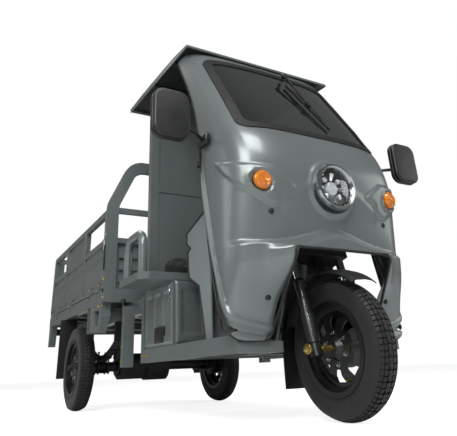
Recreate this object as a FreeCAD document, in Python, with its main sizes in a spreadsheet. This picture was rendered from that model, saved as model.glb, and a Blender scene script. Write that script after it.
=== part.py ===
import FreeCAD
import Part
import Sketcher
import math
import os
import re
from FreeCAD import Placement, Rotation, Vector

# Electric cargo tricycle with an open-sided cab.
#
# Millimetres. +Z is up, +Y points to the rear, +X is the rider's left hand.
# Every length along Y is a station, measured from the front axle. The Placement of
# each sub-part then slides it forward by middle_station, so that the origin is on the
# ground below the middle of the machine.

doc = FreeCAD.newDocument("cargo_tricycle")
sheet = doc.addObject("Spreadsheet::Sheet", "dims")

SIZES = {
    # wheels and axles
    "wheelbase": 1953,
    "middle_station": 1325,
    "rear_track_half": 508,
    "tyre_radius": 250,
    "tyre_width": 95,
    "bead_radius": 153,
    "flange_radius": 169,
    "rim_sheet": 4,
    "drum_radius": 68,
    "fork_rake": 14,
    "fork_offset": 40,
    "leg_spread": 122,
    # frame
    "beam_spread": 360,
    "beam_width": 50,
    "beam_top": 575,
    "beam_height": 75,
    "rail_out": 400,
    "rail_width": 40,
    "rail_low": 245,
    "rail_top": 309,
    "rail_front": 90,
    "rail_rear": 1090,
    # cargo bed
    "bed_half": 550,
    "bed_front": 1329,
    "bed_rear": 2863,
    "bed_low": 577,
    "rail_high": 652,
    "board_low": 656,
    "board_mid": 947,
    "board_top": 1127,
    "board_skin": 3,
    "board_depth": 32,
    # cab
    "wall": 4,
    "splash_station": 372,
    "wall_station": 1000,
    "seat_front": 670,
    "seat_rear": 985,
    "seat_top": 635,
    "roof_half": 455,
}

for row, (alias, amount) in enumerate(SIZES.items(), start=1):
    sheet.set(f"A{row}", alias)
    sheet.set(f"B{row}", str(amount))
    sheet.setAlias(f"B{row}", alias)
doc.recompute()

ALIAS = re.compile(r"\b(" + "|".join(SIZES) + r")\b")
NODES = []


def bound(text):
    """The text of a size with the sheet's name put before each alias in it."""
    return ALIAS.sub(r"dims.\1", str(text))


def size(text):
    """The present value of a size in millimetres or degrees."""
    return float(sheet.evalExpression(bound(text)))


def spot(x, y, z):
    return Vector(size(x), size(y), size(z))


def node(label, thing):
    """Makes an object a sub-part and moves it from stations to the row's origin."""
    thing.Label = label
    thing.setExpression("Placement.Base.y", bound("-middle_station"))
    NODES.append(thing)
    return thing


# ---------------------------------------------------------------- simple pieces


def block(name, x, y, z):
    """A box between the low and high sizes on each axis."""
    box = doc.addObject("Part::Box", name)
    for prop, axis, (low, high) in zip(("Length", "Width", "Height"), "xyz", (x, y, z)):
        box.setExpression(prop, bound(f"({high}) - ({low})"))
        box.setExpression(f"Placement.Base.{axis}", bound(low))
    return box


def mirrored(low, high, side):
    """A range on X for the left side, or the same range on the right."""
    return (low, high) if side > 0 else (f"-({high})", f"-({low})")


def rod(name, radius, start, end):
    """A round bar between two points."""
    foot = spot(*start)
    run = spot(*end) - foot
    bar = doc.addObject("Part::Cylinder", name)
    bar.setExpression("Radius", bound(radius))
    bar.Height = run.Length
    bar.Placement = Placement(foot, Rotation(Vector(0, 0, 1), run))
    return bar


def fused(name, pieces):
    joined = doc.addObject("Part::MultiFuse", name)
    joined.Shapes = pieces
    joined.Refine = True
    return joined


def cut(name, base, tool):
    rest = doc.addObject("Part::Cut", name)
    rest.Base = base
    rest.Tool = tool
    return rest


def together(name, pieces):
    """Separate solids of one sub-part."""
    group = doc.addObject("Part::Compound", name)
    group.Links = pieces
    return group


def coded(name, shape):
    """A sub-part whose curved shape comes from code."""
    thing = doc.addObject("Part::Feature", name)
    thing.Shape = shape
    return thing


# ---------------------------------------------------------------- sketched bodies


def sketched(body, plane, offset="0"):
    """A sketch on one of the body's own origin planes."""
    sketch = body.newObject("Sketcher::SketchObject", f"{body.Name}_sketch")
    planes = [item for item in body.Origin.OriginFeatures if item.Role == plane]
    sketch.AttachmentSupport = [(planes[0], "")]
    sketch.MapMode = "FlatFace"
    sketch.setExpression("AttachmentOffset.Base.z", bound(offset))
    return sketch


def polygon(sketch, corners):
    """A closed outline whose corners are bound to the sheet."""
    points = [Vector(size(u), size(v), 0) for u, v in corners]
    first = sketch.GeometryCount
    count = len(points)
    for index, point in enumerate(points):
        sketch.addGeometry(Part.LineSegment(point, points[(index + 1) % count]), False)
    for index in range(count):
        ahead = first + (index + 1) % count
        sketch.addConstraint(Sketcher.Constraint("Coincident", first + index, 2, ahead, 1))
    for index, (u, v) in enumerate(corners):
        for kind, text in (("DistanceX", u), ("DistanceY", v)):
            limit = Sketcher.Constraint(kind, -1, 1, first + index, 1, size(text))
            number = sketch.addConstraint(limit)
            sketch.setExpression(f"Constraints[{number}]", bound(text))


def pad(body, plane, corners, low, high):
    """An outline on a plane, thick from low to high along the plane's normal."""
    sketch = sketched(body, plane, low)
    polygon(sketch, corners)
    feature = body.newObject("PartDesign::Pad", f"{body.Name}_pad")
    feature.Profile = sketch
    feature.setExpression("Length", bound(f"({high}) - ({low})"))
    return feature


def pocket(body, plane, corners, low, high):
    """An outline on a plane taken out of the body, from high down to low."""
    sketch = sketched(body, plane, high)
    polygon(sketch, corners)
    feature = body.newObject("PartDesign::Pocket", f"{body.Name}_pocket")
    feature.Profile = sketch
    feature.setExpression("Length", bound(f"({high}) - ({low})"))
    return feature


def padded_body(name, plane, corners, low, high):
    body = doc.addObject("PartDesign::Body", name)
    pad(body, plane, corners, low, high)
    return body


def turned(name, profile, axis):
    """A PartDesign revolution of an (axial, radius) outline about X or Y."""
    body = doc.addObject("PartDesign::Body", name)
    sketch = sketched(body, "XY_Plane")
    outline = profile if axis == "H_Axis" else [(radius, axial) for axial, radius in profile]
    polygon(sketch, outline)
    feature = body.newObject("PartDesign::Revolution", f"{name}_turn")
    feature.Profile = sketch
    feature.ReferenceAxis = (sketch, [axis])
    feature.Angle = 360
    return body


# ---------------------------------------------------------------- bent tubes


def bent_path(points, radius):
    """Straight runs joined by arcs of one bend radius."""
    edges = []
    start = points[0]
    for corner, ahead in zip(points[1:-1], points[2:]):
        back = (start - corner).normalize()
        front = (ahead - corner).normalize()
        half = back.getAngle(front) / 2
        reach = radius / math.tan(half)
        middle = (back + front).normalize()
        centre = corner + middle * (radius / math.sin(half))
        enter = corner + back * reach
        leave = corner + front * reach
        edges.append(Part.LineSegment(start, enter).toShape())
        edges.append(Part.Arc(enter, centre - middle * radius, leave).toShape())
        start = leave
    edges.append(Part.LineSegment(start, points[-1]).toShape())
    return Part.Wire(edges)


def bent_tube(points, bend, radius):
    """A round tube along a bent path."""
    path = bent_path(points, bend)
    along = (points[1] - points[0]).normalize()
    ring = Part.Wire([Part.makeCircle(radius, points[0], along)])
    return path.makePipeShell([ring], True, False)


# ---------------------------------------------------------------- steering line


def on_steering_axis(along):
    """The point of the steering axis at a distance above wheel-centre height."""
    lean = math.radians(size("fork_rake"))
    foot = spot("0", "fork_offset / cos(fork_rake)", "tyre_radius")
    return foot + Vector(0, math.sin(lean), math.cos(lean)) * along


def on_fork_leg(side, along):
    """The point of a fork leg's axis at a distance above the wheel axle."""
    lean = math.radians(size("fork_rake"))
    foot = spot("leg_spread", "0", "tyre_radius")
    foot.x *= side
    return foot + Vector(0, math.sin(lean), math.cos(lean)) * along


def bar_between(name, radius, foot, head):
    bar = doc.addObject("Part::Cylinder", name)
    bar.Radius = radius
    bar.Height = (head - foot).Length
    bar.Placement = Placement(foot, Rotation(Vector(0, 0, 1), head - foot))
    return bar


def raked_block(name, x, behind, along):
    """A box in the steering head's leaning frame: across, behind the axis, along it."""
    box = block(name, x, behind, along)
    lean = Rotation(Vector(1, 0, 0), -size("fork_rake"))
    box.setExpression("Placement.Base.x", None)
    box.setExpression("Placement.Base.y", None)
    box.setExpression("Placement.Base.z", None)
    corner = spot(x[0], behind[0], along[0])
    box.Placement = Placement(on_steering_axis(0) + lean.multVec(corner), lean)
    return box


# ---------------------------------------------------------------- wheels


def tyre(name):
    """A hollow tyre turned about X, with round crown and sidewalls."""
    body = doc.addObject("PartDesign::Body", name)
    sketch = sketched(body, "XY_Plane")
    crown = size("tyre_radius")
    half = size("tyre_width") / 2
    bead = size("bead_radius") + 0.5
    lip = (half - 6, size("flange_radius") + 2)
    shoulder = (half - 9, crown - 11)
    toe = (half - 17, bead)
    inner_shoulder = (half - 19, crown - 21)
    skin = 10

    def other(point):
        return (-point[0], point[1])

    outline = [
        ("line", other((half - 9, bead)), other(lip)),
        ("arc", other(lip), (-half, 205), other(shoulder)),
        ("arc", other(shoulder), (0, crown), shoulder),
        ("arc", shoulder, (half, 205), lip),
        ("line", lip, (half - 9, bead)),
        ("line", (half - 9, bead), toe),
        ("arc", toe, (half - skin, 202), inner_shoulder),
        ("arc", inner_shoulder, (0, crown - 13), other(inner_shoulder)),
        ("arc", other(inner_shoulder), (skin - half, 202), other(toe)),
        ("line", other(toe), other((half - 9, bead))),
    ]
    for kind, *ends in outline:
        corners = [Vector(u, v, 0) for u, v in ends]
        edge = Part.Arc(*corners) if kind == "arc" else Part.LineSegment(*corners)
        sketch.addGeometry(edge, False)
    feature = body.newObject("PartDesign::Revolution", f"{name}_turn")
    feature.Profile = sketch
    feature.ReferenceAxis = (sketch, ["H_Axis"])
    feature.Angle = 360
    return body


def add_turn(body, profile):
    """One more outline turned about the body's X axis."""
    sketch = sketched(body, "XY_Plane")
    polygon(sketch, profile)
    feature = body.newObject("PartDesign::Revolution", f"{body.Name}_turn")
    feature.Profile = sketch
    feature.ReferenceAxis = (sketch, ["H_Axis"])
    feature.Angle = 360


def rim(name, bore):
    """A pressed steel wheel: barrel, dished disc with windows, and drum hub."""
    body = doc.addObject("PartDesign::Body", name)
    add_turn(body, [
        ("-47", "flange_radius"), ("-43", "flange_radius"), ("-42", "bead_radius"),
        ("-24", "bead_radius"), ("-18", "138"), ("18", "138"), ("24", "bead_radius"),
        ("42", "bead_radius"), ("43", "flange_radius"), ("47", "flange_radius"),
        ("46", "bead_radius - rim_sheet"), ("28", "bead_radius - rim_sheet"), ("22", "134"),
        ("-22", "134"), ("-28", "bead_radius - rim_sheet"), ("-46", "bead_radius - rim_sheet"),
    ])
    add_turn(body, [
        ("8", "136"), ("12", "136"), ("12", "120"), ("26", "96"),
        ("26", "40"), ("22", "40"), ("22", "94"), ("8", "118"),
    ])
    add_turn(body, [
        ("-46", bore), ("-46", "34"), ("-40", "drum_radius"), ("14", "drum_radius"),
        ("22", "46"), ("38", "34"), ("46", "28"), ("46", bore),
    ])
    window = pocket(body, "YZ_Plane", [("74", "-11"), ("116", "-20"), ("116", "20"), ("74", "11")],
                    "0", "40")
    pattern = body.newObject("PartDesign::PolarPattern", f"{name}_windows")
    pattern.Originals = [window]
    axis = [item for item in body.Origin.OriginFeatures if item.Role == "X_Axis"]
    pattern.Axis = (axis[0], [""])
    pattern.Angle = 360
    pattern.Occurrences = 8
    body.Tip = pattern
    return body


def wheel(tag, x, station, bore, facing):
    """A tyre on its rim, the rim's disc facing left (1) or right (-1)."""
    for part, label in ((tyre(f"tyre_{tag}"), f"{tag}_tyre"), (rim(f"rim_{tag}", bore), f"{tag}_rim")):
        turn = 0 if facing > 0 else 180
        part.Placement = Placement(Vector(), Rotation(Vector(0, 0, 1), turn))
        node(label, part)
        part.setExpression("Placement.Base.x", bound(x))
        part.setExpression("Placement.Base.y", bound(f"{station} - middle_station"))
        part.setExpression("Placement.Base.z", bound("tyre_radius"))


def wheels():
    wheel("front_wheel", "0", "0", "10.05", -1)
    wheel("rear_wheel_left", "rear_track_half", "wheelbase", "15.05", 1)
    wheel("rear_wheel_right", "-rear_track_half", "wheelbase", "15.05", -1)


# ---------------------------------------------------------------- frame and axle


def chassis_frame():
    """Welded ladder frame, low cab rails, and the steering head."""
    pieces = [
        block("front_cross", ("-230", "230"), ("330", "370"), ("rail_low", "285")),
        block("seat_cross", ("-360", "360"), ("700", "740"), ("rail_low", "285")),
        rod("cowl_bar", "12", ("-395", "203", "745"), ("395", "203", "745")),
    ]
    for index, station in enumerate(("1050", "1500", "2330", "2750")):
        pieces.append(block(f"cross_{index}", ("-335", "335"), (station, f"{station} + 40"),
                            ("beam_top - 60", "beam_top - 10")))
    for side, tag in ((1, "left"), (-1, "right")):
        beam_x = mirrored("beam_spread - beam_width / 2", "beam_spread + beam_width / 2", side)
        rail_x = mirrored("rail_out - rail_width", "rail_out", side)
        nose_x = mirrored("200", "rail_out - rail_width", side)
        inner_x = mirrored("200", "230", side)
        step_x = mirrored("385", "465", side)
        down = 60 * side
        pieces += [
            block(f"beam_{tag}", beam_x, ("1050", "bed_rear - 70"),
                  ("beam_top - beam_height", "beam_top")),
            block(f"rail_{tag}", rail_x, ("rail_front", "rail_rear"), ("rail_low", "rail_top")),
            block(f"post_{tag}", rail_x, ("1050", "rail_rear"), ("rail_top", "beam_top")),
            block(f"nose_{tag}", nose_x, ("rail_front", "rail_front + 40"), ("rail_low", "285")),
            block(f"inner_{tag}", inner_x, ("rail_front + 40", "330"), ("rail_low", "285")),
            block(f"cross_end_{tag}", mirrored("200", "360", side), ("330", "370"),
                  ("rail_low", "285")),
            block(f"step_arm_{tag}", step_x, ("1190", "1225"), ("500", "540")),
            block(f"step_plate_{tag}", mirrored("405", "465", side), ("1190", "1225"),
                  ("230", "540")),
            rod(f"down_{tag}", "16", (down, "350", "265"), (down / 2, "178", "745")),
        ]
    pieces.append(bar_between("head_tube", 30, on_steering_axis(405), on_steering_axis(600)))
    bore = bar_between("head_bore", 15.05, on_steering_axis(395), on_steering_axis(610))
    return node("chassis_frame", cut("frame", fused("frame_metal", pieces), bore))


def rear_axle():
    """Axle tube with the drive motor and gearbox on it, and a stub for each wheel."""
    height = "tyre_radius"
    pieces = [
        rod("axle_tube", "30", ("-430", "wheelbase", height), ("430", "wheelbase", height)),
        rod("motor", "80", ("-250", "wheelbase", height), ("-70", "wheelbase", height)),
        rod("gearbox", "90", ("-70", "wheelbase", height), ("85", "wheelbase", height)),
        rod("motor_lid", "60", ("-265", "wheelbase", height), ("-250", "wheelbase", height)),
        rod("stub", "15", ("-565", "wheelbase", height), ("565", "wheelbase", height)),
    ]
    for side, tag in ((1, "left"), (-1, "right")):
        inner, outer = 430 * side, 452 * side
        pieces.append(rod(f"plate_{tag}", "72", (inner, "wheelbase", height),
                          (outer, "wheelbase", height)))
        inner, outer = 561 * side, 575 * side
        pieces.append(rod(f"nut_{tag}", "18", (inner, "wheelbase", height),
                          (outer, "wheelbase", height)))
    return node("rear_axle", fused("axle", pieces))


def leaf(side, layer, reach):
    """One leaf of a spring, an arc that hangs between its ends."""
    radius = 740 + 8 * layer
    centre = spot("beam_spread", "wheelbase", "1052")
    centre.x = side * centre.x - 25
    turn = math.asin(reach / radius)

    def at(distance, angle):
        return centre + Vector(0, distance * math.sin(angle), -distance * math.cos(angle))

    low = radius + 8
    edges = [
        Part.Arc(at(radius, -turn), at(radius, 0), at(radius, turn)).toShape(),
        Part.makeLine(at(radius, turn), at(low, turn)),
        Part.Arc(at(low, turn), at(low, 0), at(low, -turn)).toShape(),
        Part.makeLine(at(low, -turn), at(radius, -turn)),
    ]
    return Part.Face(Part.Wire(edges)).extrude(Vector(50, 0, 0))


def leaf_springs():
    """Two leaf packs with their hangers, clamp plates and U-bolts."""
    packs = []
    for side, tag in ((1, "left"), (-1, "right")):
        leaves = [coded(f"leaf_{tag}_{layer}", leaf(side, layer, reach))
                  for layer, reach in enumerate((345, 240, 140))]
        x = mirrored("beam_spread - 25", "beam_spread + 25", side)
        pieces = leaves + [
            block(f"pad_{tag}", x, ("wheelbase - 45", "wheelbase + 45"), ("280", "292")),
            block(f"top_plate_{tag}", mirrored("beam_spread - 40", "beam_spread + 40", side),
                  ("wheelbase - 50", "wheelbase + 50"), ("311", "320")),
            block(f"low_plate_{tag}", mirrored("beam_spread - 40", "beam_spread + 40", side),
                  ("wheelbase - 50", "wheelbase + 50"), ("212", "220")),
        ]
        for reach in (-345, 345):
            pieces.append(block(f"hanger_{tag}_{reach + 345}", x,
                                (f"wheelbase + {reach} - 16", f"wheelbase + {reach} + 16"),
                                ("385", "beam_top - beam_height")))
        for across in ("beam_spread - 33", "beam_spread + 33"):
            for reach in (-40, 40):
                column = f"{side} * ({across})"
                station = f"wheelbase + {reach}"
                pieces.append(rod(f"bolt_{tag}", "5", (column, station, "205"),
                                  (column, station, "335")))
        packs.append(fused(f"pack_{tag}", pieces))
    return node("leaf_springs", together("springs", packs))


def shock_absorbers():
    """Telescopic dampers between the axle and the frame."""
    dampers = []
    for side, tag in ((1, "left"), (-1, "right")):
        x = 290 * side
        low, mid, high = (x, "1860", "300"), (x, "1760", "400"), (x, "1690", "470")
        pieces = [rod(f"damper_body_{tag}", "24", low, mid), rod(f"damper_rod_{tag}", "16", mid, high)]
        for end, (px, py, pz) in (("low", low), ("high", high)):
            pieces.append(rod(f"eye_{tag}_{end}", "18", (px - 14, py, pz), (px + 14, py, pz)))
        arm = rod(f"damper_arm_{tag}", "10", (x, "1690", "470"), (320 * side, "1690", "520"))
        foot = rod(f"damper_foot_{tag}", "10", (x, "1860", "300"), (x, "1925", "265"))
        dampers.append(fused(f"damper_{tag}", pieces + [arm, foot]))
    return node("shock_absorbers", together("dampers", dampers))


# ---------------------------------------------------------------- steering


def steering_stem():
    """Stem, lower yoke and bar clamp."""
    yoke = fused("stem_metal", [
        bar_between("stem", 15, on_steering_axis(365), on_steering_axis(775)),
        raked_block("yoke", ("-150", "150"), ("-70", "28"), ("360", "392")),
        raked_block("clamp", ("-45", "45"), ("-30", "30"), ("745", "790")),
    ])
    legs = [bar_between("leg_bore", 17, on_fork_leg(side, 340), on_fork_leg(side, 420))
            for side in (1, -1)]
    bar_bore = rod("bar_bore", "11", ("-60", "233", "1001"), ("60", "233", "1001"))
    return node("steering_stem", cut("stem_part", yoke, fused("stem_bores", legs + [bar_bore])))


def fork():
    """Chrome tubes over black sliders, with a pin axle."""
    tubes = [bar_between("fork_tube", 17, on_fork_leg(side, 255), on_fork_leg(side, 400))
             for side in (1, -1)]
    node("fork_tubes", together("fork_chrome", tubes))
    sliders = []
    for side in (1, -1):
        legs = fused("slider_metal", [
            bar_between("slider", 24, on_fork_leg(side, -28), on_fork_leg(side, 250)),
            bar_between("collar", 28, on_fork_leg(side, 222), on_fork_leg(side, 255)),
            bar_between("boot", 30, on_fork_leg(side, 20), on_fork_leg(side, 130)),
        ])
        axle_hole = rod("slider_bore", "10.05", (70 * side, "0", "tyre_radius"),
                        (180 * side, "0", "tyre_radius"))
        sliders.append(cut("slider_part", legs, axle_hole))
    node("fork_sliders", together("fork_legs", sliders))
    pieces = [rod("pin", "10", ("-158", "0", "tyre_radius"), ("158", "0", "tyre_radius"))]
    for side in (1, -1):
        for inner, outer, radius in ((53, 96, "14"), (147, 160, "15")):
            pieces.append(rod("axle_collar", radius, (inner * side, "0", "tyre_radius"),
                              (outer * side, "0", "tyre_radius")))
    node("front_axle", fused("axle_pin", pieces))


def front_fender():
    """Pressed mudguard over the tyre with a rubber flap behind it."""
    shell = doc.addObject("PartDesign::Body", "fender_shell")
    sketch = sketched(shell, "XY_Plane")
    polygon(sketch, [("-62", "272"), ("-40", "283"), ("0", "287"), ("40", "283"), ("62", "272"),
                     ("62", "276"), ("40", "287"), ("0", "291"), ("-40", "287"), ("-62", "276")])
    feature = shell.newObject("PartDesign::Revolution", "fender_turn")
    feature.Profile = sketch
    feature.ReferenceAxis = (sketch, ["H_Axis"])
    feature.Angle = 120
    shell.Placement = Placement(spot("0", "0", "tyre_radius"), Rotation(Vector(1, 0, 0), 8))
    flap = block("front_flap", ("-80", "80"), ("264", "269"), ("112", "345"))
    stay = raked_block("fender_stay", ("-18", "18"), ("-60", "-30"), ("272", "360"))
    node("front_fender", fused("fender", [shell, flap, stay]))


def handlebar():
    """A swept bar with a rubber grip on each end."""
    turns = [(345, 490, 1130), (205, 420, 1125), (90, 233, 1001)]
    points = [Vector(*turn) for turn in turns]
    points += [Vector(-x, y, z) for x, y, z in reversed(turns)]
    node("handlebar", coded("bar", bent_tube(points, 45, 11)))
    sleeves = []
    for side in (1, -1):
        tip = Vector(345 * side, 490, 1130)
        inward = (Vector(205 * side, 420, 1125) - tip).normalize()
        sleeve = bar_between("grip_rubber", 16, tip - inward * 4, tip + inward * 112)
        hole = bar_between("grip_bore", 11, tip, tip + inward * 120)
        sleeves.append(cut("grip", sleeve, hole))
    node("grips", together("grip_pair", sleeves))


# ---------------------------------------------------------------- cab shell

# Height of each section, then its front station on the centre line, the station of the
# door edge, the half width there, and the share of the arch brow that it carries.
CAB_SECTIONS = (
    (262, 86, 118, 436, 0),
    (340, 58, 133, 440, 0),
    (433, 24, 155, 443, 0),
    (500, 5, 172, 444, 0.45),
    (570, -10, 186, 445, 1),
    (620, -21, 196, 445, 1),
    (655, -28, 202, 445, 0.8),
    (690, -34, 207, 445, 0.1),
    (747, -44, 216, 445, 0),
    (862, -62, 235, 445, 0),
    (950, -64, 248, 445, 0),
    (1030, -47, 259, 444, 0),
    (1110, -12, 272, 443, 0),
    (1290, 104, 310, 441, 0),
    (1470, 221, 388, 439, 0),
    (1652, 338, 491, 437, 0),
    (1722, 384, 530, 436, 0),
)
SQUARENESS = 4.5
BROW_CENTRE = 51
BROW_CORNER = 83
BROW_REACH = 234
BROW_FADE = 120


def brow(x):
    """How far the lip over the wheel stands forward at a distance from the centre."""
    across = abs(x) / BROW_REACH
    if across <= 1:
        return BROW_CENTRE + (BROW_CORNER - BROW_CENTRE) * across ** 2
    left = max(0, 1 - (abs(x) - BROW_REACH) / BROW_FADE)
    return BROW_CORNER * left * left * (3 - 2 * left)


def cab_curve(section, inset):
    """A section's rounded front from door edge to door edge, set in by a wall."""
    height, front, edge, half, share = section
    wide = half - inset
    deep = edge - front - inset
    points = []
    for step in range(-18, 19):
        angle = math.radians(step * 5)
        across = abs(math.sin(angle)) / wide
        along = abs(math.cos(angle)) / deep
        reach = (across ** SQUARENESS + along ** SQUARENESS) ** (-1 / SQUARENESS)
        x = reach * math.sin(angle)
        y = edge - reach * math.cos(angle) - share * brow(x)
        points.append(Vector(x, y, height))
    curve = Part.BSplineCurve()
    curve.interpolate(points)
    return curve.toShape()


def cab_skin(outer, inner, lowest=0):
    """The solid between two insets of the cab's surface."""
    wires = []
    for section in CAB_SECTIONS:
        if section[0] < lowest:
            continue
        near = cab_curve(section, outer)
        far = cab_curve(section, inner)
        left = Part.makeLine(near.lastVertex().Point, far.lastVertex().Point)
        right = Part.makeLine(far.firstVertex().Point, near.firstVertex().Point)
        wires.append(Part.Wire([near, left, far.reversed(), right]))
    return Part.makeLoft(wires, True, True)


PANE_FOOT = Vector(0, -12, 1110)
PANE_RISE = Vector(0, 350, 542).normalize()


def pane(inset):
    """A prism through the windscreen opening, set in from the opening's edge."""
    half = 384 - inset
    low = 20 + inset
    high = 657 - inset
    crown = 690 - inset

    def at(x, up):
        return PANE_FOOT + Vector(x, 0, 0) + PANE_RISE * up

    wire = Part.Wire([
        Part.makeLine(at(-half, low), at(half, low)),
        Part.makeLine(at(half, low), at(half, high)),
        Part.Arc(at(half, high), at(0, crown), at(-half, high)).toShape(),
        Part.makeLine(at(-half, high), at(-half, low)),
    ])
    normal = Vector(1, 0, 0).cross(PANE_RISE)
    wire.translate(normal * -160)
    prism = Part.Face(wire).extrude(normal * 320)
    corners = [edge for edge in prism.Edges if abs(edge.Length - 320) < 0.1]
    return prism.makeFillet(62 - inset * 0.6, corners)


def lower_front_cut():
    """The wheel arch and the rounded foot of each side, seen from the front."""
    def at(x, z):
        return Vector(x, -400, z)

    def half(side):
        return [
            Part.makeLine(at(480 * side, 240), at(480 * side, 380)),
            Part.makeLine(at(480 * side, 380), at(450 * side, 380)),
            Part.Arc(at(450 * side, 380), at(430 * side, 312), at(368 * side, 286)).toShape(),
            Part.makeLine(at(368 * side, 286), at(295 * side, 286)),
            Part.Arc(at(295 * side, 286), at(266 * side, 298), at(255 * side, 330)).toShape(),
            Part.makeLine(at(255 * side, 330), at(234 * side, 572)),
        ]
    edges = half(1) + half(-1)
    edges.append(Part.Arc(at(-234, 572), at(0, 606), at(234, 572)).toShape())
    edges.append(Part.makeLine(at(-480, 240), at(480, 240)))
    wire = Part.Wire(Part.__sortEdges__(edges))
    return Part.Face(wire).extrude(Vector(0, 700, 0))


def lower_side_cut():
    """The rounded lower corner of the door edge, seen from the side."""
    def at(y, z):
        return Vector(-500, y, z)

    wire = Part.Wire([
        Part.Arc(at(190, 545), at(146, 415), at(84, 325)).toShape(),
        Part.makeLine(at(84, 325), at(84, 240)),
        Part.makeLine(at(84, 240), at(260, 240)),
        Part.makeLine(at(260, 240), at(260, 545)),
        Part.makeLine(at(260, 545), at(190, 545)),
    ])
    return Part.Face(wire).extrude(Vector(1000, 0, 0))


LAMP_HEIGHT = 867
SIGNAL_X = 333
SIGNAL_Z = 862
SIGNAL_HOLE = 38.4


def cab_shell():
    """Front shell, windscreen and its rubber seal."""
    shell = cab_skin(0, size("wall")).cut(pane(0))
    shell = shell.cut(lower_front_cut()).cut(lower_side_cut())
    lamp_hole = Part.makeCylinder(90, 300, Vector(0, -200, LAMP_HEIGHT), Vector(0, 1, 0))
    shell = shell.cut(lamp_hole)
    for side in (1, -1):
        shell = shell.cut(Part.makeCylinder(SIGNAL_HOLE, 200,
                                            Vector(SIGNAL_X * side, -150, SIGNAL_Z),
                                            Vector(0, 1, 0)))
    node("front_fairing", coded("fairing", shell))
    node("windshield", coded("glass", cab_skin(0, 5, 1000).common(pane(40))))
    ring = pane(0.2).cut(pane(40))
    node("windshield_seal", coded("seal", cab_skin(-6, 9, 1000).common(ring)))


def headlamp():
    """Round lamp: bowl, bezel and domed lens, turned about its own axis."""
    lamp = turned("lamp", [
        ("-42", "0"), ("-40", "40"), ("-32", "84"), ("-38", "88"), ("-44", "95"), ("-38", "102"),
        ("-20", "103"), ("-14", "96"), ("-14", "88"), ("30", "80"), ("58", "50"), ("62", "0"),
    ], "V_Axis")
    node("headlamp", lamp)
    lamp.setExpression("Placement.Base.y", bound("-62 - middle_station"))
    lamp.Placement.Base.z = LAMP_HEIGHT


def turn_signals():
    lamps = []
    for side in (1, -1):
        front = [SIGNAL_X * side, -66, SIGNAL_Z]
        lamps.append(fused("signal", [
            rod("signal_lens", "38", front, (front[0], -28, front[2])),
            rod("signal_stem", "23", (front[0], -28, front[2]), (front[0], 5, front[2])),
        ]))
    node("turn_signals", together("signals", lamps))


def mirrors():
    """Two door mirrors on arms from the cab's edge."""
    pair = []
    for side in (1, -1):
        housing = block("mirror_head", mirrored("575", "735", side), ("70", "120"), ("1040", "1255"))
        soft = doc.addObject("Part::Fillet", "mirror_round")
        soft.Base = housing
        soft.Edges = [(number + 1, 16, 16) for number in range(12)]
        arm = rod("mirror_arm", "12", (592 * side, "95", "1110"), (462 * side, "200", "1110"))
        foot = block("mirror_foot", mirrored("447", "480", side), ("150", "245"), ("1085", "1135"))
        pair.append(fused("mirror", [soft, arm, foot]))
    node("mirrors", together("mirror_pair", pair))


def wiper():
    """Pivot, arm and blade standing just off the glass."""
    pivot = PANE_FOOT + PANE_RISE * 600
    out = Vector(1, 0, 0).cross(PANE_RISE) * -1
    if out.y > 0:
        out = out * -1
    top = Vector(75, 0, 0) + pivot
    pieces = [
        bar_between("wiper_shaft", 8, top + out * 14, top + out * 52),
        bar_between("wiper_cap", 12, top + out * 38, top + out * 56),
    ]
    mid = PANE_FOOT + PANE_RISE * 330 + Vector(105, 0, 0)
    foot = PANE_FOOT + PANE_RISE * 120 + Vector(130, 0, 0)
    pieces.append(bar_between("wiper_arm", 6, top + out * 47, mid + out * 30))
    pieces.append(bar_between("wiper_joint", 13, mid + out * 14, mid + out * 34))
    pieces.append(bar_between("wiper_blade", 7, top - PANE_RISE * 60 + out * 16, foot + out * 16))
    node("wiper", fused("wiper_metal", pieces))


# ---------------------------------------------------------------- cab inside and seat


def side_plate(name, corners, low, high):
    """An outline seen from the left side, thick between two places on X."""
    return padded_body(name, "YZ_Plane", corners, low, high)


def inner_panel():
    """Moulded leg shield: ledge, knee pad and foot column, with a cheek at each side."""
    skin = [
        ("384", "310"), ("440", "310"), ("470", "437"), ("496", "543"), ("600", "597"),
        ("612", "717"), ("580", "735"), ("620", "760"), ("620", "813"), ("440", "868"),
        ("290", "905"), ("290", "899"), ("437", "862"), ("614", "809"), ("614", "764"),
        ("570", "737"), ("606", "713"), ("594", "601"), ("491", "547"), ("464", "439"),
        ("435", "316"), ("384", "316"),
    ]
    sheet_body = side_plate("leg_sheet", skin, "-345", "345")
    cheek = [
        ("384", "310"), ("440", "310"), ("470", "437"), ("496", "543"), ("600", "597"),
        ("612", "717"), ("580", "735"), ("620", "760"), ("620", "813"), ("440", "868"),
        ("290", "905"), ("384", "640"),
    ]
    cheeks = [side_plate("leg_cheek", cheek, *mirrored("341", "347", side)) for side in (1, -1)]
    node("inner_panel", fused("leg_shield", [sheet_body] + cheeks))


def floor_and_splash():
    floor = [
        block("floor_main", ("-359", "359"), ("splash_station", "670"), ("286", "290")),
        block("floor_left", ("235", "359"), ("100", "splash_station"), ("286", "290")),
        block("floor_right", ("-359", "-235"), ("100", "splash_station"), ("286", "290")),
        block("floor_edge", ("-359", "359"), ("640", "668"), ("286", "308")),
    ]
    node("floor_pan", fused("floor", floor))
    screen = [block("splash_back", ("-232", "232"), ("splash_station", "splash_station + 6"),
                    ("292", "600"))]
    for side in (1, -1):
        screen.append(block("splash_side", mirrored("232", "238", side),
                            ("130", "splash_station + 6"), ("292", "560")))
    node("splash_panel", fused("splash", screen))


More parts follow.
